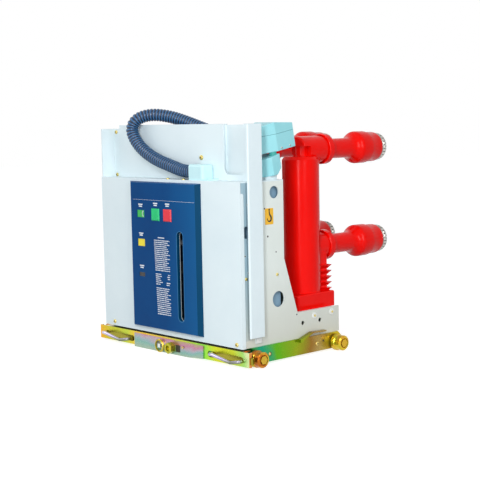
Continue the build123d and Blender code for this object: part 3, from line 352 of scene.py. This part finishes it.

# Screws of the housing: pan heads, zinc plated, with a cross recess in painted shade, turned into the cover,
# the lid, the side plates, the tall plate and its left post.


def film(name, stops, scale, rough, run=None, ends=(0.0, 1.0), swirl=1.0):
    """Zinc plating whose thin film runs through several tints, in patches or along a run."""
    material = bpy.data.materials.new(name)
    material.use_nodes = True
    tree = material.node_tree
    shader = tree.nodes["Principled BSDF"]
    shader.inputs["Metallic"].default_value = 0.8
    shader.inputs["Specular IOR Level"].default_value = 0.2
    spot = chain(tree, "ShaderNodeTexCoord").outputs["Object"]
    tint = chain(tree, "ShaderNodeTexNoise", {"Scale": scale, "Detail": 2.0, "Distortion": 0.8},
                 {"Vector": spot}).outputs["Fac"]
    if run:
        along = chain(tree, "ShaderNodeVectorMath", {1: run}, {0: spot}, operation="DOT_PRODUCT")
        level_along = chain(tree, "ShaderNodeMapRange", {"From Min": ends[0], "From Max": ends[1]},
                            {"Value": along.outputs["Value"]})
        centred = chain(tree, "ShaderNodeMath", {1: 0.5}, {0: tint}, operation="SUBTRACT")
        tint = chain(tree, "ShaderNodeMath", {1: swirl},
                     {0: centred.outputs["Value"], 2: level_along.outputs["Result"]},
                     operation="MULTIPLY_ADD").outputs["Value"]
    ramp = chain(tree, "ShaderNodeValToRGB", links={"Fac": tint})
    while len(ramp.color_ramp.elements) < len(stops):
        ramp.color_ramp.elements.new(0.5)
    for element, (at, colour) in zip(ramp.color_ramp.elements, stops):
        element.position = at
        element.color = (*colour, 1)
    pattern = chain(tree, "ShaderNodeGroup", {"Scale": 900, "Cloud Scale": 30}, node_tree=grain_group)
    tree.links.new(ramp.outputs["Color"], shader.inputs["Base Color"])
    rough_drift = chain(tree, "ShaderNodeMapRange", {"To Min": rough * 0.8, "To Max": rough * 1.35},
                        {"Value": pattern.outputs["Cloud"]})
    tree.links.new(rough_drift.outputs["Result"], shader.inputs["Roughness"])
    relief = chain(tree, "ShaderNodeBump", {"Strength": 0.5, "Distance": 0.0001},
                   {"Height": pattern.outputs["Height"]})
    tree.links.new(relief.outputs["Normal"], shader.inputs["Normal"])
    return material


brass_zinc = film("brass_zinc", [(0.30, (0.55, 0.42, 0.12)), (0.50, (0.72, 0.55, 0.18)),
                                 (0.70, (0.60, 0.62, 0.25))], 90.0, 0.3)
# Near black that paints the shade of recesses and holes: the screws' crosses, tapped and drilled holes, sunk
# rings and the lock window.
recess_shade = finish("recess_shade", (0.015, 0.014, 0.012), (0.03, 0.028, 0.022), 0.6)
facing = {"front": Matrix.Rotation(math.pi / 2, 4, "X"), "top": Matrix.Identity(4),
          "right": Matrix.Rotation(math.pi / 2, 4, "Y"), "left": Matrix.Rotation(-math.pi / 2, 4, "Y"),
          "back": Matrix.Rotation(-math.pi / 2, 4, "X")}


def colour_faces(verts, slot):
    """Gives the faces of some vertices the material in a slot."""
    for face in {f for v in verts for f in v.link_faces}:
        face.material_index = slot


def pan_screw(bm, place, way, radius):
    """Domed head with a cross in the second slot, painted shade for its recess, seated at a place and facing
    a way.
    """
    before = set(bm.verts)
    dome = ((1.0, 0.0), (1.0, 0.25), (0.9, 0.42), (0.6, 0.56), (0.0, 0.62))
    rim = [bm.verts.new((x * radius, 0, z * radius)) for x, z in dome]
    outline = [bm.edges.new((a, b)) for a, b in zip(rim, rim[1:])]
    bmesh.ops.spin(bm, geom=rim + outline, cent=(0, 0, 0), axis=(0, 0, 1), angle=2 * math.pi, steps=14,
                   use_merge=True, use_duplicate=False)
    head = [v for v in bm.verts if v not in before]
    bmesh.ops.remove_doubles(bm, verts=head, dist=radius * 0.01)
    for width, height in ((0.95, 0.22), (0.22, 0.95)):
        size = (radius * width, radius * height, radius * 0.2)
        colour_faces(add_block(bm, (0, 0, radius * 0.54), size), 1)
    made = [v for v in bm.verts if v not in before]
    bmesh.ops.transform(bm, matrix=Matrix.Translation(place) @ facing[way], verts=made)


lid_top = 0.489
tall_face = front + 0.0467
bm = bmesh.new()
for x, z in ((-0.255, 0.063), (0.278, 0.061)):
    pan_screw(bm, (x, front, z), "front", 0.0058)
for x in (-0.005, 0.062):
    pan_screw(bm, (x, front + 0.012, lid_top), "top", 0.0055)
pan_screw(bm, (0.0984, tall_face, 0.5487), "front", 0.0068)
for z in (0.619, 0.494):
    pan_screw(bm, (-0.284, tall_face, z), "front", 0.0055)
for side, way in ((1, "right"), (-1, "left")):
    for y, z in ((0.1316, 0.2359), (0.0182, 0.2351)):
        pan_screw(bm, (side * side_face, front + y, z), way, 0.0044)
keep("housing_screws", bm, "breaker", [brass_zinc, recess_shade])

# White washers with a hexagon head hold the base from both sides. The small tapped holes of the side plates
# have a thin raised rim, and a near black disc inside it that is painted shade for the hole.
washer_places = ((0.273, 0.1065), (0.343, 0.1087))
tapped_holes = ((0.2035, 0.1183, 0.0026), (0.0988, 0.3405, 0.0030), (0.1285, 0.2971, 0.0024),
                (0.0283, 0.4292, 0.0030), (0.0155, 0.2952, 0.0024), (0.0287, 0.2505, 0.0034),
                (0.0888, 0.4150, 0.0026))
washer_white = finish("washer_white", (0.78, 0.82, 0.80), (0.84, 0.87, 0.85), 0.4)


def add_disc(bm, place, way, radii, depth, segments, slot=0):
    """Adds a disc whose outer face may be smaller, at a place and facing a way."""
    seat = Matrix.Translation(place) @ facing[way]
    made = bmesh.ops.create_cone(bm, cap_ends=True, segments=segments, radius1=radii[0], radius2=radii[1],
                                 depth=depth, matrix=seat)["verts"]
    colour_faces(made, slot)


bm = bmesh.new()
for side, way in ((1, "right"), (-1, "left")):
    for y, z in washer_places:
        add_disc(bm, (side * (side_face + 0.0008), front + y, z), way, (0.009, 0.0082), 0.0016, 24)
        add_disc(bm, (side * (side_face + 0.0022), front + y, z), way, (0.0036, 0.0032), 0.003, 6, slot=1)
    for y, z, radius in tapped_holes:
        for size, lift, slot in ((radius * 1.3, 0.0001, 0), (radius, 0.0002, 2)):
            add_disc(bm, (side * (side_face + lift), front + y, z), way, (size, size * 0.9), 0.0004, 20, slot)
keep("base_fixings", bm, "breaker", [washer_white, brass_zinc, recess_shade])

# White clip on the post's tab, where the channel is hooked to the side plate:
# a small pressed steel plate with eased edges.
bm = bmesh.new()
add_block(bm, (side_face + 0.0032, front + 0.0580, 0.0690), (0.0014, 0.0210, 0.0170))
ease(bm, bm.edges[:], 0.0006, 2)
keep("post_clip", bm, "breaker", [washer_white])

# Yellow sticker with a plain black hook on the right side plate, beside the
# lifting hole's screw. It is a thin plate with rounded corners.
label_yellow = finish("label_yellow", (0.85, 0.45, 0.02), (0.90, 0.52, 0.03), 0.35)
mark_black = finish("mark_black", (0.02, 0.015, 0.012), (0.035, 0.03, 0.025), 0.5)
sticker_y, sticker_z = 0.105, 0.3935
hook_line = ((0.105, 0.4105), (0.105, 0.4015), (0.108, 0.3965), (0.1125, 0.3905), (0.1115, 0.3825),
             (0.105, 0.3795), (0.0990, 0.3825), (0.0978, 0.3875))
mark_face = side_face + 0.0008
bm = bmesh.new()
add_block(bm, (side_face + 0.0003, front + sticker_y, sticker_z), (0.0006, 0.030, 0.043))
ease(bm, [e for e in bm.edges if abs(e.verts[0].co.x - e.verts[1].co.x) > 0.0003], 0.002, 3)
keep("hook_sticker", bm, "breaker", [label_yellow])
hook_points = line_points("hook_line", [(mark_face, front + y, z) for y, z in hook_line])
hook_stations, hook_ways = even_steps(hook_points, 0.0015)
bm = bmesh.new()
for n, (spot, heading) in enumerate(zip(hook_stations, hook_ways)):
    width = 0.0011 + 0.0014 * math.sin(math.pi * min(1.0, n / len(hook_stations) * 1.15))
    seat = Matrix.Translation(spot) @ Matrix.Rotation(math.atan2(heading.z, heading.y), 4, "X")
    bmesh.ops.create_cube(bm, size=1.0, matrix=seat @ Matrix.Diagonal((0.0004, 0.0019, 2 * width, 1)))
add_disc(bm, (mark_face, front + sticker_y, 0.4115), "right", (0.0026, 0.0026), 0.0004, 20)
keep("hook_mark", bm, "breaker", [mark_black])

# Elbow of pale moulded plastic on the lid, and the control plug: a contact block, a hood with a wide bevel,
# and the latch between them. The paler edges of the elbow and the plug are a painted highlight.
plug_plastic = finish("plug_plastic", (0.28, 0.66, 0.72), (0.36, 0.73, 0.78), 0.32, grain=500, bump=0.0001,
                      wear_and_highlight=(0.68, 0.90, 0.92), specular=0.3)
elbow_plastic = finish("elbow_plastic", (0.56, 0.84, 0.88), (0.64, 0.88, 0.92), 0.32, grain=500,
                       bump=0.0001, wear_and_highlight=(0.74, 0.92, 0.94), specular=0.3)
for node, material in (("plug_block", plug_plastic), ("plug_hood", plug_plastic),
                       ("conduit_elbow", elbow_plastic)):
    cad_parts[node].data.materials[0] = material

# Seam between the two halves of the hood, its screws and its teal latch, and
# the screw of the elbow. The plug leans back by ten degrees on its saddle.
lean = Matrix.Translation((0, front + 0.098, 0.4945)) @ Matrix.Rotation(math.radians(10), 4, "X")
hood_outline = ((0.2248, 0.0078), (0.2762, 0.0078), (0.3002, 0.0549), (0.3002, 0.1222), (0.2248, 0.1222))
hood_side = 0.3000
seam_height, seam_width = 0.1068, 0.0009
seam_teal = finish("seam_teal", (0.05, 0.22, 0.26), (0.08, 0.28, 0.32), 0.5, specular=0.2)
latch_teal = finish("latch_teal", (0.06, 0.40, 0.36), (0.09, 0.46, 0.42), 0.4, specular=0.3)
bm = bmesh.new()
section = bm.faces.new([bm.verts.new((x, y, seam_height)) for x, y in hood_outline])
push_out(bm, [section], (0, 0, seam_width))
ease(bm, [e for e in bm.edges if abs(e.verts[0].co.z - e.verts[1].co.z) > seam_width / 2], 0.0020, 4)
bmesh.ops.recalc_face_normals(bm, faces=bm.faces[:])
bmesh.ops.transform(bm, matrix=lean, verts=bm.verts[:])
keep("hood_seam", bm, "breaker", [seam_teal])
bm = bmesh.new()
add_block(bm, (0.2860, 0.0470, 0.0535), (0.0146, 0.0146, 0.0156))
ease(bm, bm.edges[:], 0.0012, 2)
bmesh.ops.transform(bm, matrix=lean, verts=bm.verts[:])
keep("plug_latch", bm, "breaker", [latch_teal])
screw_zinc = finish("screw_zinc", (0.42, 0.42, 0.40), (0.56, 0.56, 0.54), 0.3, metallic=1.0)
bm = bmesh.new()
for y in (0.0693, 0.1013):
    pan_screw(bm, (0, 0, 0), "right", 0.0028)
    head = [v for v in bm.verts if v.co.length < 0.006]
    bmesh.ops.transform(bm, matrix=lean @ Matrix.Translation((hood_side, y, 0.0678)), verts=head)
pan_screw(bm, (0.0930, front + 0.0125, 0.5115), "left", 0.0030)
keep("plug_screws", bm, "breaker", [screw_zinc, recess_shade])

# Control panel: one blue moulding with a fine texture and bevelled edges, paler towards the right, with
# painted shade on the bevel that faces right and a paler painted highlight along its edges.
panel_blue = finish("panel_blue", (0.0010, 0.050, 0.185), (0.0020, 0.066, 0.225), 0.36, grain=1400,
                    bump=0.00006, cloud=7.0, wear_and_highlight=(0.02, 0.19, 0.40), edge_width=0.0016, specular=0.07)
to_the_right = mask(panel_blue, place_parts(panel_blue)["X"], 0.000, 0.140)
stain(panel_blue, to_the_right, (0.010, 0.130, 0.340), 0.6)
right_bevel_shade = mask(panel_blue, facing_parts(panel_blue)["X"], 0.3, 0.5)
stain(panel_blue, right_bevel_shade, (0.0010, 0.045, 0.100), 0.85)
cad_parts["control_panel"].data.materials[0] = panel_blue

# Raised lip round the slot of the charging lever, moulded with the panel: a thin band that follows the slot's
# round ends, in a paler blue that is a painted highlight along the slot's edge.
panel_face = front - 0.0100
slot_z, slot_half = 0.2235, 0.1110
lip_radius, lip_width, lip_rise = 0.0149, 0.0015, 0.0007
lip_highlight_blue = finish("lip_highlight_blue", (0.030, 0.170, 0.380), (0.045, 0.210, 0.440), 0.34, grain=1400, bump=0.00006,
                  specular=0.2)
bm = bmesh.new()
ends = bmesh.ops.create_circle(bm, cap_ends=True, segments=48, radius=lip_radius)["verts"]
for vert in ends:
    vert.co.y += slot_half if vert.co.y > 0 else -slot_half
opening = bm.faces[:]
bmesh.ops.inset_region(bm, faces=opening, thickness=lip_width, depth=0.0, use_even_offset=True,
                       use_boundary=True)
bmesh.ops.delete(bm, geom=opening, context="FACES")
push_out(bm, bm.faces[:], (0, 0, lip_rise))
bmesh.ops.recalc_face_normals(bm, faces=bm.faces[:])
placed = Matrix.Translation((slot_x, panel_face, slot_z)) @ facing["front"]
bmesh.ops.transform(bm, matrix=placed, verts=bm.verts[:])
keep("slot_lip", bm, "breaker", [lip_highlight_blue])

# White print on the panel: two short rows over each button, window and the
# counter, a block of plain bars, and a thin rule under the header.
window_x = -0.105
caption_height = 0.0034
caption_places = ((window_x, 0.412), (-0.038, 0.417), (0.0145, 0.417), (window_x, 0.330), (window_x, 0.2375))
block_top, block_foot, row_step = 0.3185, 0.110, 0.0056
print_white = finish("print_white", (0.72, 0.76, 0.80), (0.80, 0.84, 0.88), 0.5)
bm = bmesh.new()


def bar(left, right, z, height):
    """One printed bar on the panel's face."""
    add_block(bm, ((left + right) / 2, panel_face - 0.0001, z), (right - left, 0.0002, height))


bar(-0.138, 0.130, 0.4300, 0.0005)
for x, z in caption_places:
    bar(x - 0.0095, x + 0.0095, z + 0.0045, caption_height)
    bar(x - 0.0070, x + 0.0070, z - 0.0010, caption_height)
words = random.Random(7)
bar(-0.030, -0.002, 0.3262, 0.0026)
row = block_top
while row > block_foot:
    down = (block_top - row) / (block_top - block_foot)
    between_blocks = 0.405 < down < 0.435 or 0.60 < down < 0.635
    if not between_blocks:
        at = -0.048 + 0.010 * down
        split = 0.44 < down < 0.60 and words.random() < 0.7
        end = words.choice((0.020, 0.020, 0.020, 0.016, 0.008, 0.012))
        while at < end:
            step = min(words.uniform(0.004, 0.015), end - at)
            if not (split and -0.026 < at < 0.002):
                bar(at, at + step, row + words.uniform(-0.0002, 0.0002), words.uniform(0.0019, 0.0026))
            at += step + words.uniform(0.0008, 0.0022)
    row -= row_step
keep("panel_print", bm, "breaker", [print_white])

# Push buttons: square caps with bevelled edges, whose paler edges are a painted highlight. Green closes the
# breaker and red opens it. Each has its collar behind the cover.
button_green = finish("button_green", (0.005, 0.50, 0.16), (0.01, 0.60, 0.20), 0.28, specular=0.3,
                      wear_and_highlight=(0.05, 0.72, 0.30))
button_red = finish("button_red", (0.74, 0.020, 0.040), (0.86, 0.035, 0.055), 0.25, specular=0.35,
                    wear_and_highlight=(0.95, 0.16, 0.18))
for node, material in (("close_button", button_green), ("open_button", button_red)):
    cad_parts[node].data.materials[0] = material

# Indicator flags of painted sheet behind their windows: the upper shows green
# and the lower yellow.
state_z, spring_z = 0.390, 0.308
flag_green = finish("flag_green", (0.02, 0.42, 0.06), (0.03, 0.52, 0.09), 0.3)
flag_yellow = finish("flag_yellow", (0.85, 0.68, 0.02), (0.92, 0.78, 0.03), 0.3)
for z, material, name in ((state_z, flag_green, "state_flag"), (spring_z, flag_yellow, "spring_flag")):
    bm = bmesh.new()
    add_block(bm, (window_x, front - 0.0082, z), (0.0316, 0.0014, 0.0206))
    ease(bm, bm.edges[:], 0.0003, 1)
    flag = keep(name, bm, "breaker", [material])
    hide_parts("indicator_flags")

# White crescent printed at the right of the upper flag: short bars along an
# arc, each turned with it.
bm = bmesh.new()
for n in range(9):
    turn_by = math.radians(-64 + 16 * n)
    spot = Matrix.Translation((window_x + 0.0065 + 0.0062 * (1 - math.cos(turn_by)), front - 0.0090,
                               state_z + 0.0078 * math.sin(turn_by)))
    bmesh.ops.create_cube(bm, size=1.0, matrix=spot @ Matrix.Rotation(-turn_by * 0.8, 4, "Y")
                          @ Matrix.Diagonal((0.0026, 0.0003, 0.0030, 1)))
keep("flag_mark", bm, "breaker", [print_white])

# Drum window of the operation counter, a black plastic frame that is set into
# the panel.
counter_black = finish("counter_black", (0.012, 0.012, 0.014), (0.02, 0.02, 0.024), 0.25)
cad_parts["operation_counter"].data.materials[0] = counter_black

# Charging lever on its pin and bracket behind the slot of the panel, in black painted steel. The black of the
# bracket also stands for painted shade inside the slot.
lever_black = finish("lever_black", (0.015, 0.015, 0.018), (0.03, 0.03, 0.034), 0.45)
for node in ("charging_lever", "lever_bracket"):
    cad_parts[node].data.materials[0] = lever_black

# Truck: channels, floor, beam, plate, handles and wheels of steel with yellow
# zinc plating, whose film runs from gold through green to pink and blue.
beam_half = 0.326
rail_zinc = film("rail_zinc", [(0.00, (0.04, 0.30, 0.06)), (0.14, (0.01, 0.30, 0.17)),
                               (0.30, (0.10, 0.38, 0.01)), (0.52, (0.26, 0.32, 0.01)),
                               (0.66, (0.28, 0.14, 0.02)), (0.78, (0.38, 0.27, 0.08)),
                               (0.90, (0.52, 0.42, 0.02)), (1.00, (0.56, 0.38, 0.02))], 9.0, 0.26,
                 run=(0, 1, 0), ends=(front + 0.030, front + 0.380), swirl=0.30)
beam_zinc = film("beam_zinc", [(0.00, (0.80, 0.38, 0.02)), (0.07, (0.54, 0.52, 0.03)),
                               (0.20, (0.50, 0.60, 0.05)), (0.27, (0.84, 0.54, 0.05)),
                               (0.50, (0.74, 0.60, 0.08)), (0.72, (0.26, 0.72, 0.07)),
                               (0.80, (0.62, 0.64, 0.02)), (0.90, (0.56, 0.62, 0.03)),
                               (0.96, (0.34, 0.64, 0.14)), (1.00, (0.66, 0.74, 0.36))], 14.0, 0.24,
                 run=(1, 0, 0), ends=(-beam_half, beam_half), swirl=0.10)
plate_zinc = film("plate_zinc", [(0.05, (0.34, 0.44, 0.34)), (0.30, (0.22, 0.42, 0.36)),
                                 (0.46, (0.30, 0.40, 0.42)), (0.60, (0.44, 0.36, 0.40)),
                                 (0.78, (0.50, 0.22, 0.32)), (1.00, (0.44, 0.36, 0.20))], 11.0, 0.26,
                  run=(0.35, 0, 12.0), ends=(0.00, 0.62), swirl=1.1)
gold_zinc = film("gold_zinc", [(0.30, (0.42, 0.40, 0.03)), (0.46, (0.62, 0.46, 0.03)),
                               (0.60, (0.64, 0.36, 0.03)), (0.74, (0.50, 0.18, 0.01))], 40.0, 0.22)
boss_zinc = film("boss_zinc", [(0.30, (0.24, 0.28, 0.02)), (0.50, (0.46, 0.44, 0.03)),
                               (0.70, (0.60, 0.46, 0.05))], 40.0, 0.22)
handle_zinc = film("handle_zinc", [(0.05, (0.05, 0.06, 0.02)), (0.36, (0.22, 0.24, 0.16)),
                                   (0.60, (0.44, 0.38, 0.58)), (0.90, (0.66, 0.62, 0.80))], 30.0, 0.24,
                   run=(0, 0, 1), ends=(0.008, 0.036), swirl=0.2)
copper_zinc = film("copper_zinc", [(0.30, (0.56, 0.40, 0.04)), (0.48, (0.60, 0.26, 0.02)),
                                   (0.66, (0.42, 0.11, 0.01))], 40.0, 0.22)
beam_facing = facing_parts(beam_zinc)
stain(beam_zinc, mask(beam_zinc, beam_facing["X"], 0.6, 0.8), (0.62, 0.18, 0.02), 0.9)
# Top faces of the beam are painted a pale cream: the light that falls on them.
stain(beam_zinc, mask(beam_zinc, beam_facing["Z"], 0.6, 0.8), (0.70, 0.60, 0.34), 0.9)
guide_ring = mask(plate_zinc, place_parts(plate_zinc)["Y"], front - 0.0072, front - 0.0074)
stain(plate_zinc, guide_ring, (0.58, 0.44, 0.04), 0.95)
outward = chain(rail_zinc.node_tree, "ShaderNodeMath", links={0: place_parts(rail_zinc)["X"]},
                operation="ABSOLUTE")
stud = mask(rail_zinc, outward.outputs["Value"], 0.3240, 0.3250)
stain(rail_zinc, stud, (0.60, 0.36, 0.03), 0.9)
# The part of each handle inside the beam is a darker olive gold: the gold zinc there, with painted shade of
# the slot.
slider_shade = mask(handle_zinc, place_parts(handle_zinc)["Y"], front - 0.0060, front - 0.0030)
stain(handle_zinc, slider_shade, (0.34, 0.30, 0.03))
for nodes, material in ((("rail_left", "rail_right", "truck_floor"), rail_zinc),
                        (("front_beam",), beam_zinc), (("centre_plate",), plate_zinc),
                        (("hex_boss",), boss_zinc),
                        (("wheel_front_left", "wheel_front_right"), copper_zinc),
                        (("wheel_rear_left", "wheel_rear_right"), gold_zinc),
                        (("handle_left", "handle_right"), handle_zinc)):
    for node in nodes:
        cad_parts[node].data.materials[0] = material
screw_steel = finish("screw_steel", (0.62, 0.63, 0.62), (0.76, 0.77, 0.76), 0.28, metallic=1.0)
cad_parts["racking_screw"].data.materials[0] = screw_steel

# Near black plate behind the window of the centre plate, beside the hexagonal boss, painted shade for the
# window's depth, and the small gold rivet at the window's right.
bm = bmesh.new()
add_block(bm, (0.040, front - 0.0043, 0.020), (0.0196, 0.0006, 0.0196))
ease(bm, bm.edges[:], 0.0002, 1)
keep("lock_window_shade", bm, "racking_beam", [recess_shade])
bm = bmesh.new()
pan_screw(bm, (0.0620, front - 0.0070, 0.0265), "front", 0.0034)
keep("plate_rivet", bm, "racking_beam", [brass_zinc, recess_shade])

# Inner strips of the beam: gold zinc plate, fixed behind the slots in which
# the handles slide.
bm = bmesh.new()
for side in (1, -1):
    add_block(bm, (side * 0.240, front + 0.0160, 0.0215), (0.168, 0.0008, 0.0300))
ease(bm, bm.edges[:], 0.0003, 1)
keep("beam_inside", bm, "racking_beam", [gold_zinc])

# Rails: a gold screw, a drilled hole and a sunk ring with a gold plug on each outer face. The hole and the
# ring are near black discs: painted shade.
rail_face = 0.3035
bm = bmesh.new()
for side, way in ((1, "right"), (-1, "left")):
    pan_screw(bm, (side * rail_face, front + 0.2767, 0.0277), way, 0.0058)
    for y, z, radius in ((0.3018, 0.0325, 0.0030), (0.0950, 0.0260, 0.0062)):
        sunk = (side * (rail_face + 0.0001), front + y, z)
        add_disc(bm, sunk, way, (radius, radius * 0.9), 0.0005, 24, slot=1)
    plug_place = (side * (rail_face + 0.0005), front + 0.0938, 0.0264)
    add_disc(bm, plug_place, way, (0.0044, 0.0036), 0.0008, 24)
keep("rail_fixings", bm, "breaker", [brass_zinc, recess_shade])

# Poles and arm sleeves of red cast resin: glossy, with a slow unevenness
# from the mould.
epoxy_red = finish("epoxy_red", (0.84, 0.0020, 0.0008), (0.92, 0.0040, 0.0010), 0.20, grain=60, bump=0.0003,
                   cloud=4.0, specular=0.12)
phases = (("left", -0.21), ("middle", 0.0), ("right", 0.21))
levels = (("upper", 0.5612), ("lower", 0.2862))
for phase, _ in phases:
    for part in ("pole", "upper_arm", "lower_arm"):
        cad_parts[f"{part}_{phase}"].data.materials[0] = epoxy_red

# Arm sleeves turned with the form of the real ones: a shed over the mouth, a
# long neck, and a flared cup whose rim steps in before the silvered contact.
cup_floor = 0.5600
shed = ((0.4050, 0.0000), (0.4050, 0.0395), (0.3950, 0.0395), (0.3950, 0.0415), (0.3965, 0.0433),
        (0.4130, 0.0433), (0.4150, 0.0418), (0.4170, 0.0360), (0.4205, 0.0315), (0.4270, 0.0290))
neck = ((0.4380, 0.0285), (0.5060, 0.0285))
flare = ((0.5150, 0.0300), (0.5220, 0.0335), (0.5280, 0.0385), (0.5330, 0.0435), (0.5380, 0.0462),
         (0.5420, 0.0469))
rim = ((0.5760, 0.0469), (0.5785, 0.0465), (0.5800, 0.0445), (0.5815, 0.0438), (0.6130, 0.0438),
       (0.6180, 0.0435), (0.6215, 0.0426), (0.6230, 0.0415), (0.6230, 0.0408), (cup_floor, 0.0408),
       (cup_floor, 0.0000))
for level_name, z in levels:
    for phase, x in phases:
        bm = bmesh.new()
        points = [bm.verts.new((radius, front + y, 0)) for y, radius in shed + neck + flare + rim]
        outline = [bm.edges.new((a, b)) for a, b in zip(points, points[1:])]
        bmesh.ops.spin(bm, geom=points + outline, cent=(0, 0, 0), axis=(0, 1, 0), angle=2 * math.pi,
                       steps=72, use_merge=True, use_duplicate=False)
        bmesh.ops.remove_doubles(bm, verts=bm.verts[:], dist=0.00001)
        bmesh.ops.recalc_face_normals(bm, faces=bm.faces[:])
        bmesh.ops.translate(bm, vec=(x, 0, z), verts=bm.verts[:])
        sleeve = keep(f"{level_name}_sleeve_{phase}", bm, "breaker", [epoxy_red], smooth=30)
        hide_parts(f"{level_name}_arm_{phase}")

# Cast web behind the boss of each head, and the lug on the back of each rim,
# both in the resin of the pole.
head_z = levels[0][1]
bm = bmesh.new()
for _, x in phases:
    add_disc(bm, (x, front + 0.3330, head_z), "back", (0.0379, 0.0379), 0.0220, 56)
keep("head_webs", bm, "breaker", [epoxy_red])
bm = bmesh.new()
for _, x in phases:
    add_block(bm, (x + 0.0180, front + 0.3590, 0.5310), (0.0220, 0.0160, 0.0230))
ease(bm, bm.edges[:], 0.0025, 3)
keep("pole_lugs", bm, "breaker", [epoxy_red])

# Tulip contacts: twenty-four silver-plated copper fingers stand in a ring on
# a hub in the cup, and a garter spring presses them onto the fixed pin.
finger_count, finger_width = 24, 0.0076
finger_section = ((0.0275, 0.580), (0.0275, 0.600), (0.0252, 0.638), (0.0262, 0.6425), (0.0290, 0.646),
                  (0.0350, 0.646), (0.0388, 0.6430), (0.0402, 0.638), (0.0402, 0.633), (0.0385, 0.631),
                  (0.0385, 0.626), (0.0402, 0.624), (0.0402, 0.590), (0.0360, 0.580))
spring_place = (0.0388, front + 0.6285, 0)
contact_silver = finish("contact_silver", (0.40, 0.39, 0.36), (0.58, 0.57, 0.53), 0.34, grain=300,
                        metallic=1.0)
spring_steel = finish("spring_steel", (0.36, 0.35, 0.33), (0.46, 0.45, 0.42), 0.3, metallic=1.0)
for level_name, z in levels:
    bm = bmesh.new()
    for _, x in phases:
        before = set(bm.verts)
        flank = [bm.verts.new((radius, front + y, -finger_width / 2)) for radius, y in finger_section]
        push_out(bm, [bm.faces.new(flank)], (0, 0, finger_width))
        finger = [v for v in bm.verts if v not in before]
        faces = list({f for v in finger for f in v.link_faces})
        bmesh.ops.recalc_face_normals(bm, faces=faces)
        bmesh.ops.spin(bm, geom=finger + list({e for v in finger for e in v.link_edges}) + faces,
                       cent=(0, 0, 0), axis=(0, 1, 0), angle=2 * math.pi * (finger_count - 1) / finger_count,
                       steps=finger_count - 1, use_merge=False, use_duplicate=True)
        made = [v for v in bm.verts if v not in before]
        bmesh.ops.translate(bm, vec=(x, 0, z), verts=made)
        add_disc(bm, (x, front + cup_floor + 0.0105, z), "back", (0.0405, 0.0365), 0.021, 40)
        add_disc(bm, (x, front + cup_floor + 0.0255, z), "back", (0.0085, 0.0080), 0.009, 6)
    fingers = keep(f"{level_name}_fingers", bm, "breaker", [contact_silver], smooth=35)
    bm = bmesh.new()
    for _, x in phases:
        before = set(bm.verts)
        loop = bmesh.ops.create_circle(bm, segments=10, radius=0.0018,
                                       matrix=Matrix.Translation(spring_place))["verts"]
        bmesh.ops.spin(bm, geom=loop + list({e for v in loop for e in v.link_edges}), cent=(0, 0, 0),
                       axis=(0, 1, 0), angle=2 * math.pi, steps=90, use_merge=True, use_duplicate=False)
        made = [v for v in bm.verts if v not in before]
        bmesh.ops.remove_doubles(bm, verts=made, dist=0.00001)
        made = [v for v in bm.verts if v not in before]
        bmesh.ops.recalc_face_normals(bm, faces=list({f for v in made for f in v.link_faces}))
        bmesh.ops.translate(bm, vec=(x, 0, z), verts=made)
    keep(f"{level_name}_springs", bm, "breaker", [spring_steel])
    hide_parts(f"{level_name}_contacts")

# Studio: a pale floor that keeps the shadow, a white surround, tall soft lamps
# in front and at the right, and a broad one at the left.
world = bpy.data.worlds.new("studio")
bpy.context.scene.world = world
world.use_nodes = True
tree = world.node_tree


def seen_or_mirrored(tree):
    """White for the camera and for mirror images, black for light that falls on the breaker."""
    rays = chain(tree, "ShaderNodeLightPath").outputs
    return chain(tree, "ShaderNodeMath", links={0: rays["Is Camera Ray"], 1: rays["Is Glossy Ray"]},
                 operation="MAXIMUM").outputs["Value"]


surround = chain(tree, "ShaderNodeBackground", {"Color": (0.93, 0.97, 1.0, 1), "Strength": 0.35})
white = chain(tree, "ShaderNodeBackground", {"Color": (1, 1, 1, 1), "Strength": 1.0})
shown = chain(tree, "ShaderNodeMixShader", links={"Fac": seen_or_mirrored(tree),
                                                  1: surround.outputs["Background"],
                                                  2: white.outputs["Background"]})
tree.links.new(shown.outputs["Shader"], tree.nodes["World Output"].inputs["Surface"])

bm = bmesh.new()
bmesh.ops.create_circle(bm, cap_ends=True, segments=64, radius=14.0)
mesh = bpy.data.meshes.new("studio_floor")
bm.to_mesh(mesh)
bm.free()
studio_floor = bpy.data.objects.new("studio_floor", mesh)
bpy.context.scene.collection.objects.link(studio_floor)
floor_white = bpy.data.materials.new("floor_white")
floor_white.use_nodes = True
tree = floor_white.node_tree
shader = tree.nodes["Principled BSDF"]
shader.inputs["Base Color"].default_value = (0.42, 0.43, 0.44, 1)
shader.inputs["Roughness"].default_value = 0.9
glow = chain(tree, "ShaderNodeEmission", {"Color": (0.80, 0.80, 0.80, 1)},
             {"Strength": seen_or_mirrored(tree)})
summed = chain(tree, "ShaderNodeAddShader", links={0: shader.outputs["BSDF"], 1: glow.outputs["Emission"]})
tree.links.new(summed.outputs["Shader"], tree.nodes["Material Output"].inputs["Surface"])
mesh.materials.append(floor_white)

lamps = (("front_lamp", (1.75, -2.65, 1.4), (0, 0, 0.35), (0.50, 2.4), 56),
         ("left_lamp", (-2.6, -2.4, 2.2), (0, 0, 0.3), (2.4, 2.4), 30),
         ("right_lamp", (3.1, -1.1, 1.6), (0, 0, 0.3), (0.70, 2.4), 38))
for name, place, aim, size, power in lamps:
    lamp = bpy.data.lights.new(name, "AREA")
    lamp.shape = "RECTANGLE"
    lamp.size, lamp.size_y = size
    lamp.energy = power
    stand = bpy.data.objects.new(name, lamp)
    stand.location = place
    stand.rotation_euler = (Vector(aim) - Vector(place)).to_track_quat("-Z", "Y").to_euler()
    bpy.context.scene.collection.objects.link(stand)
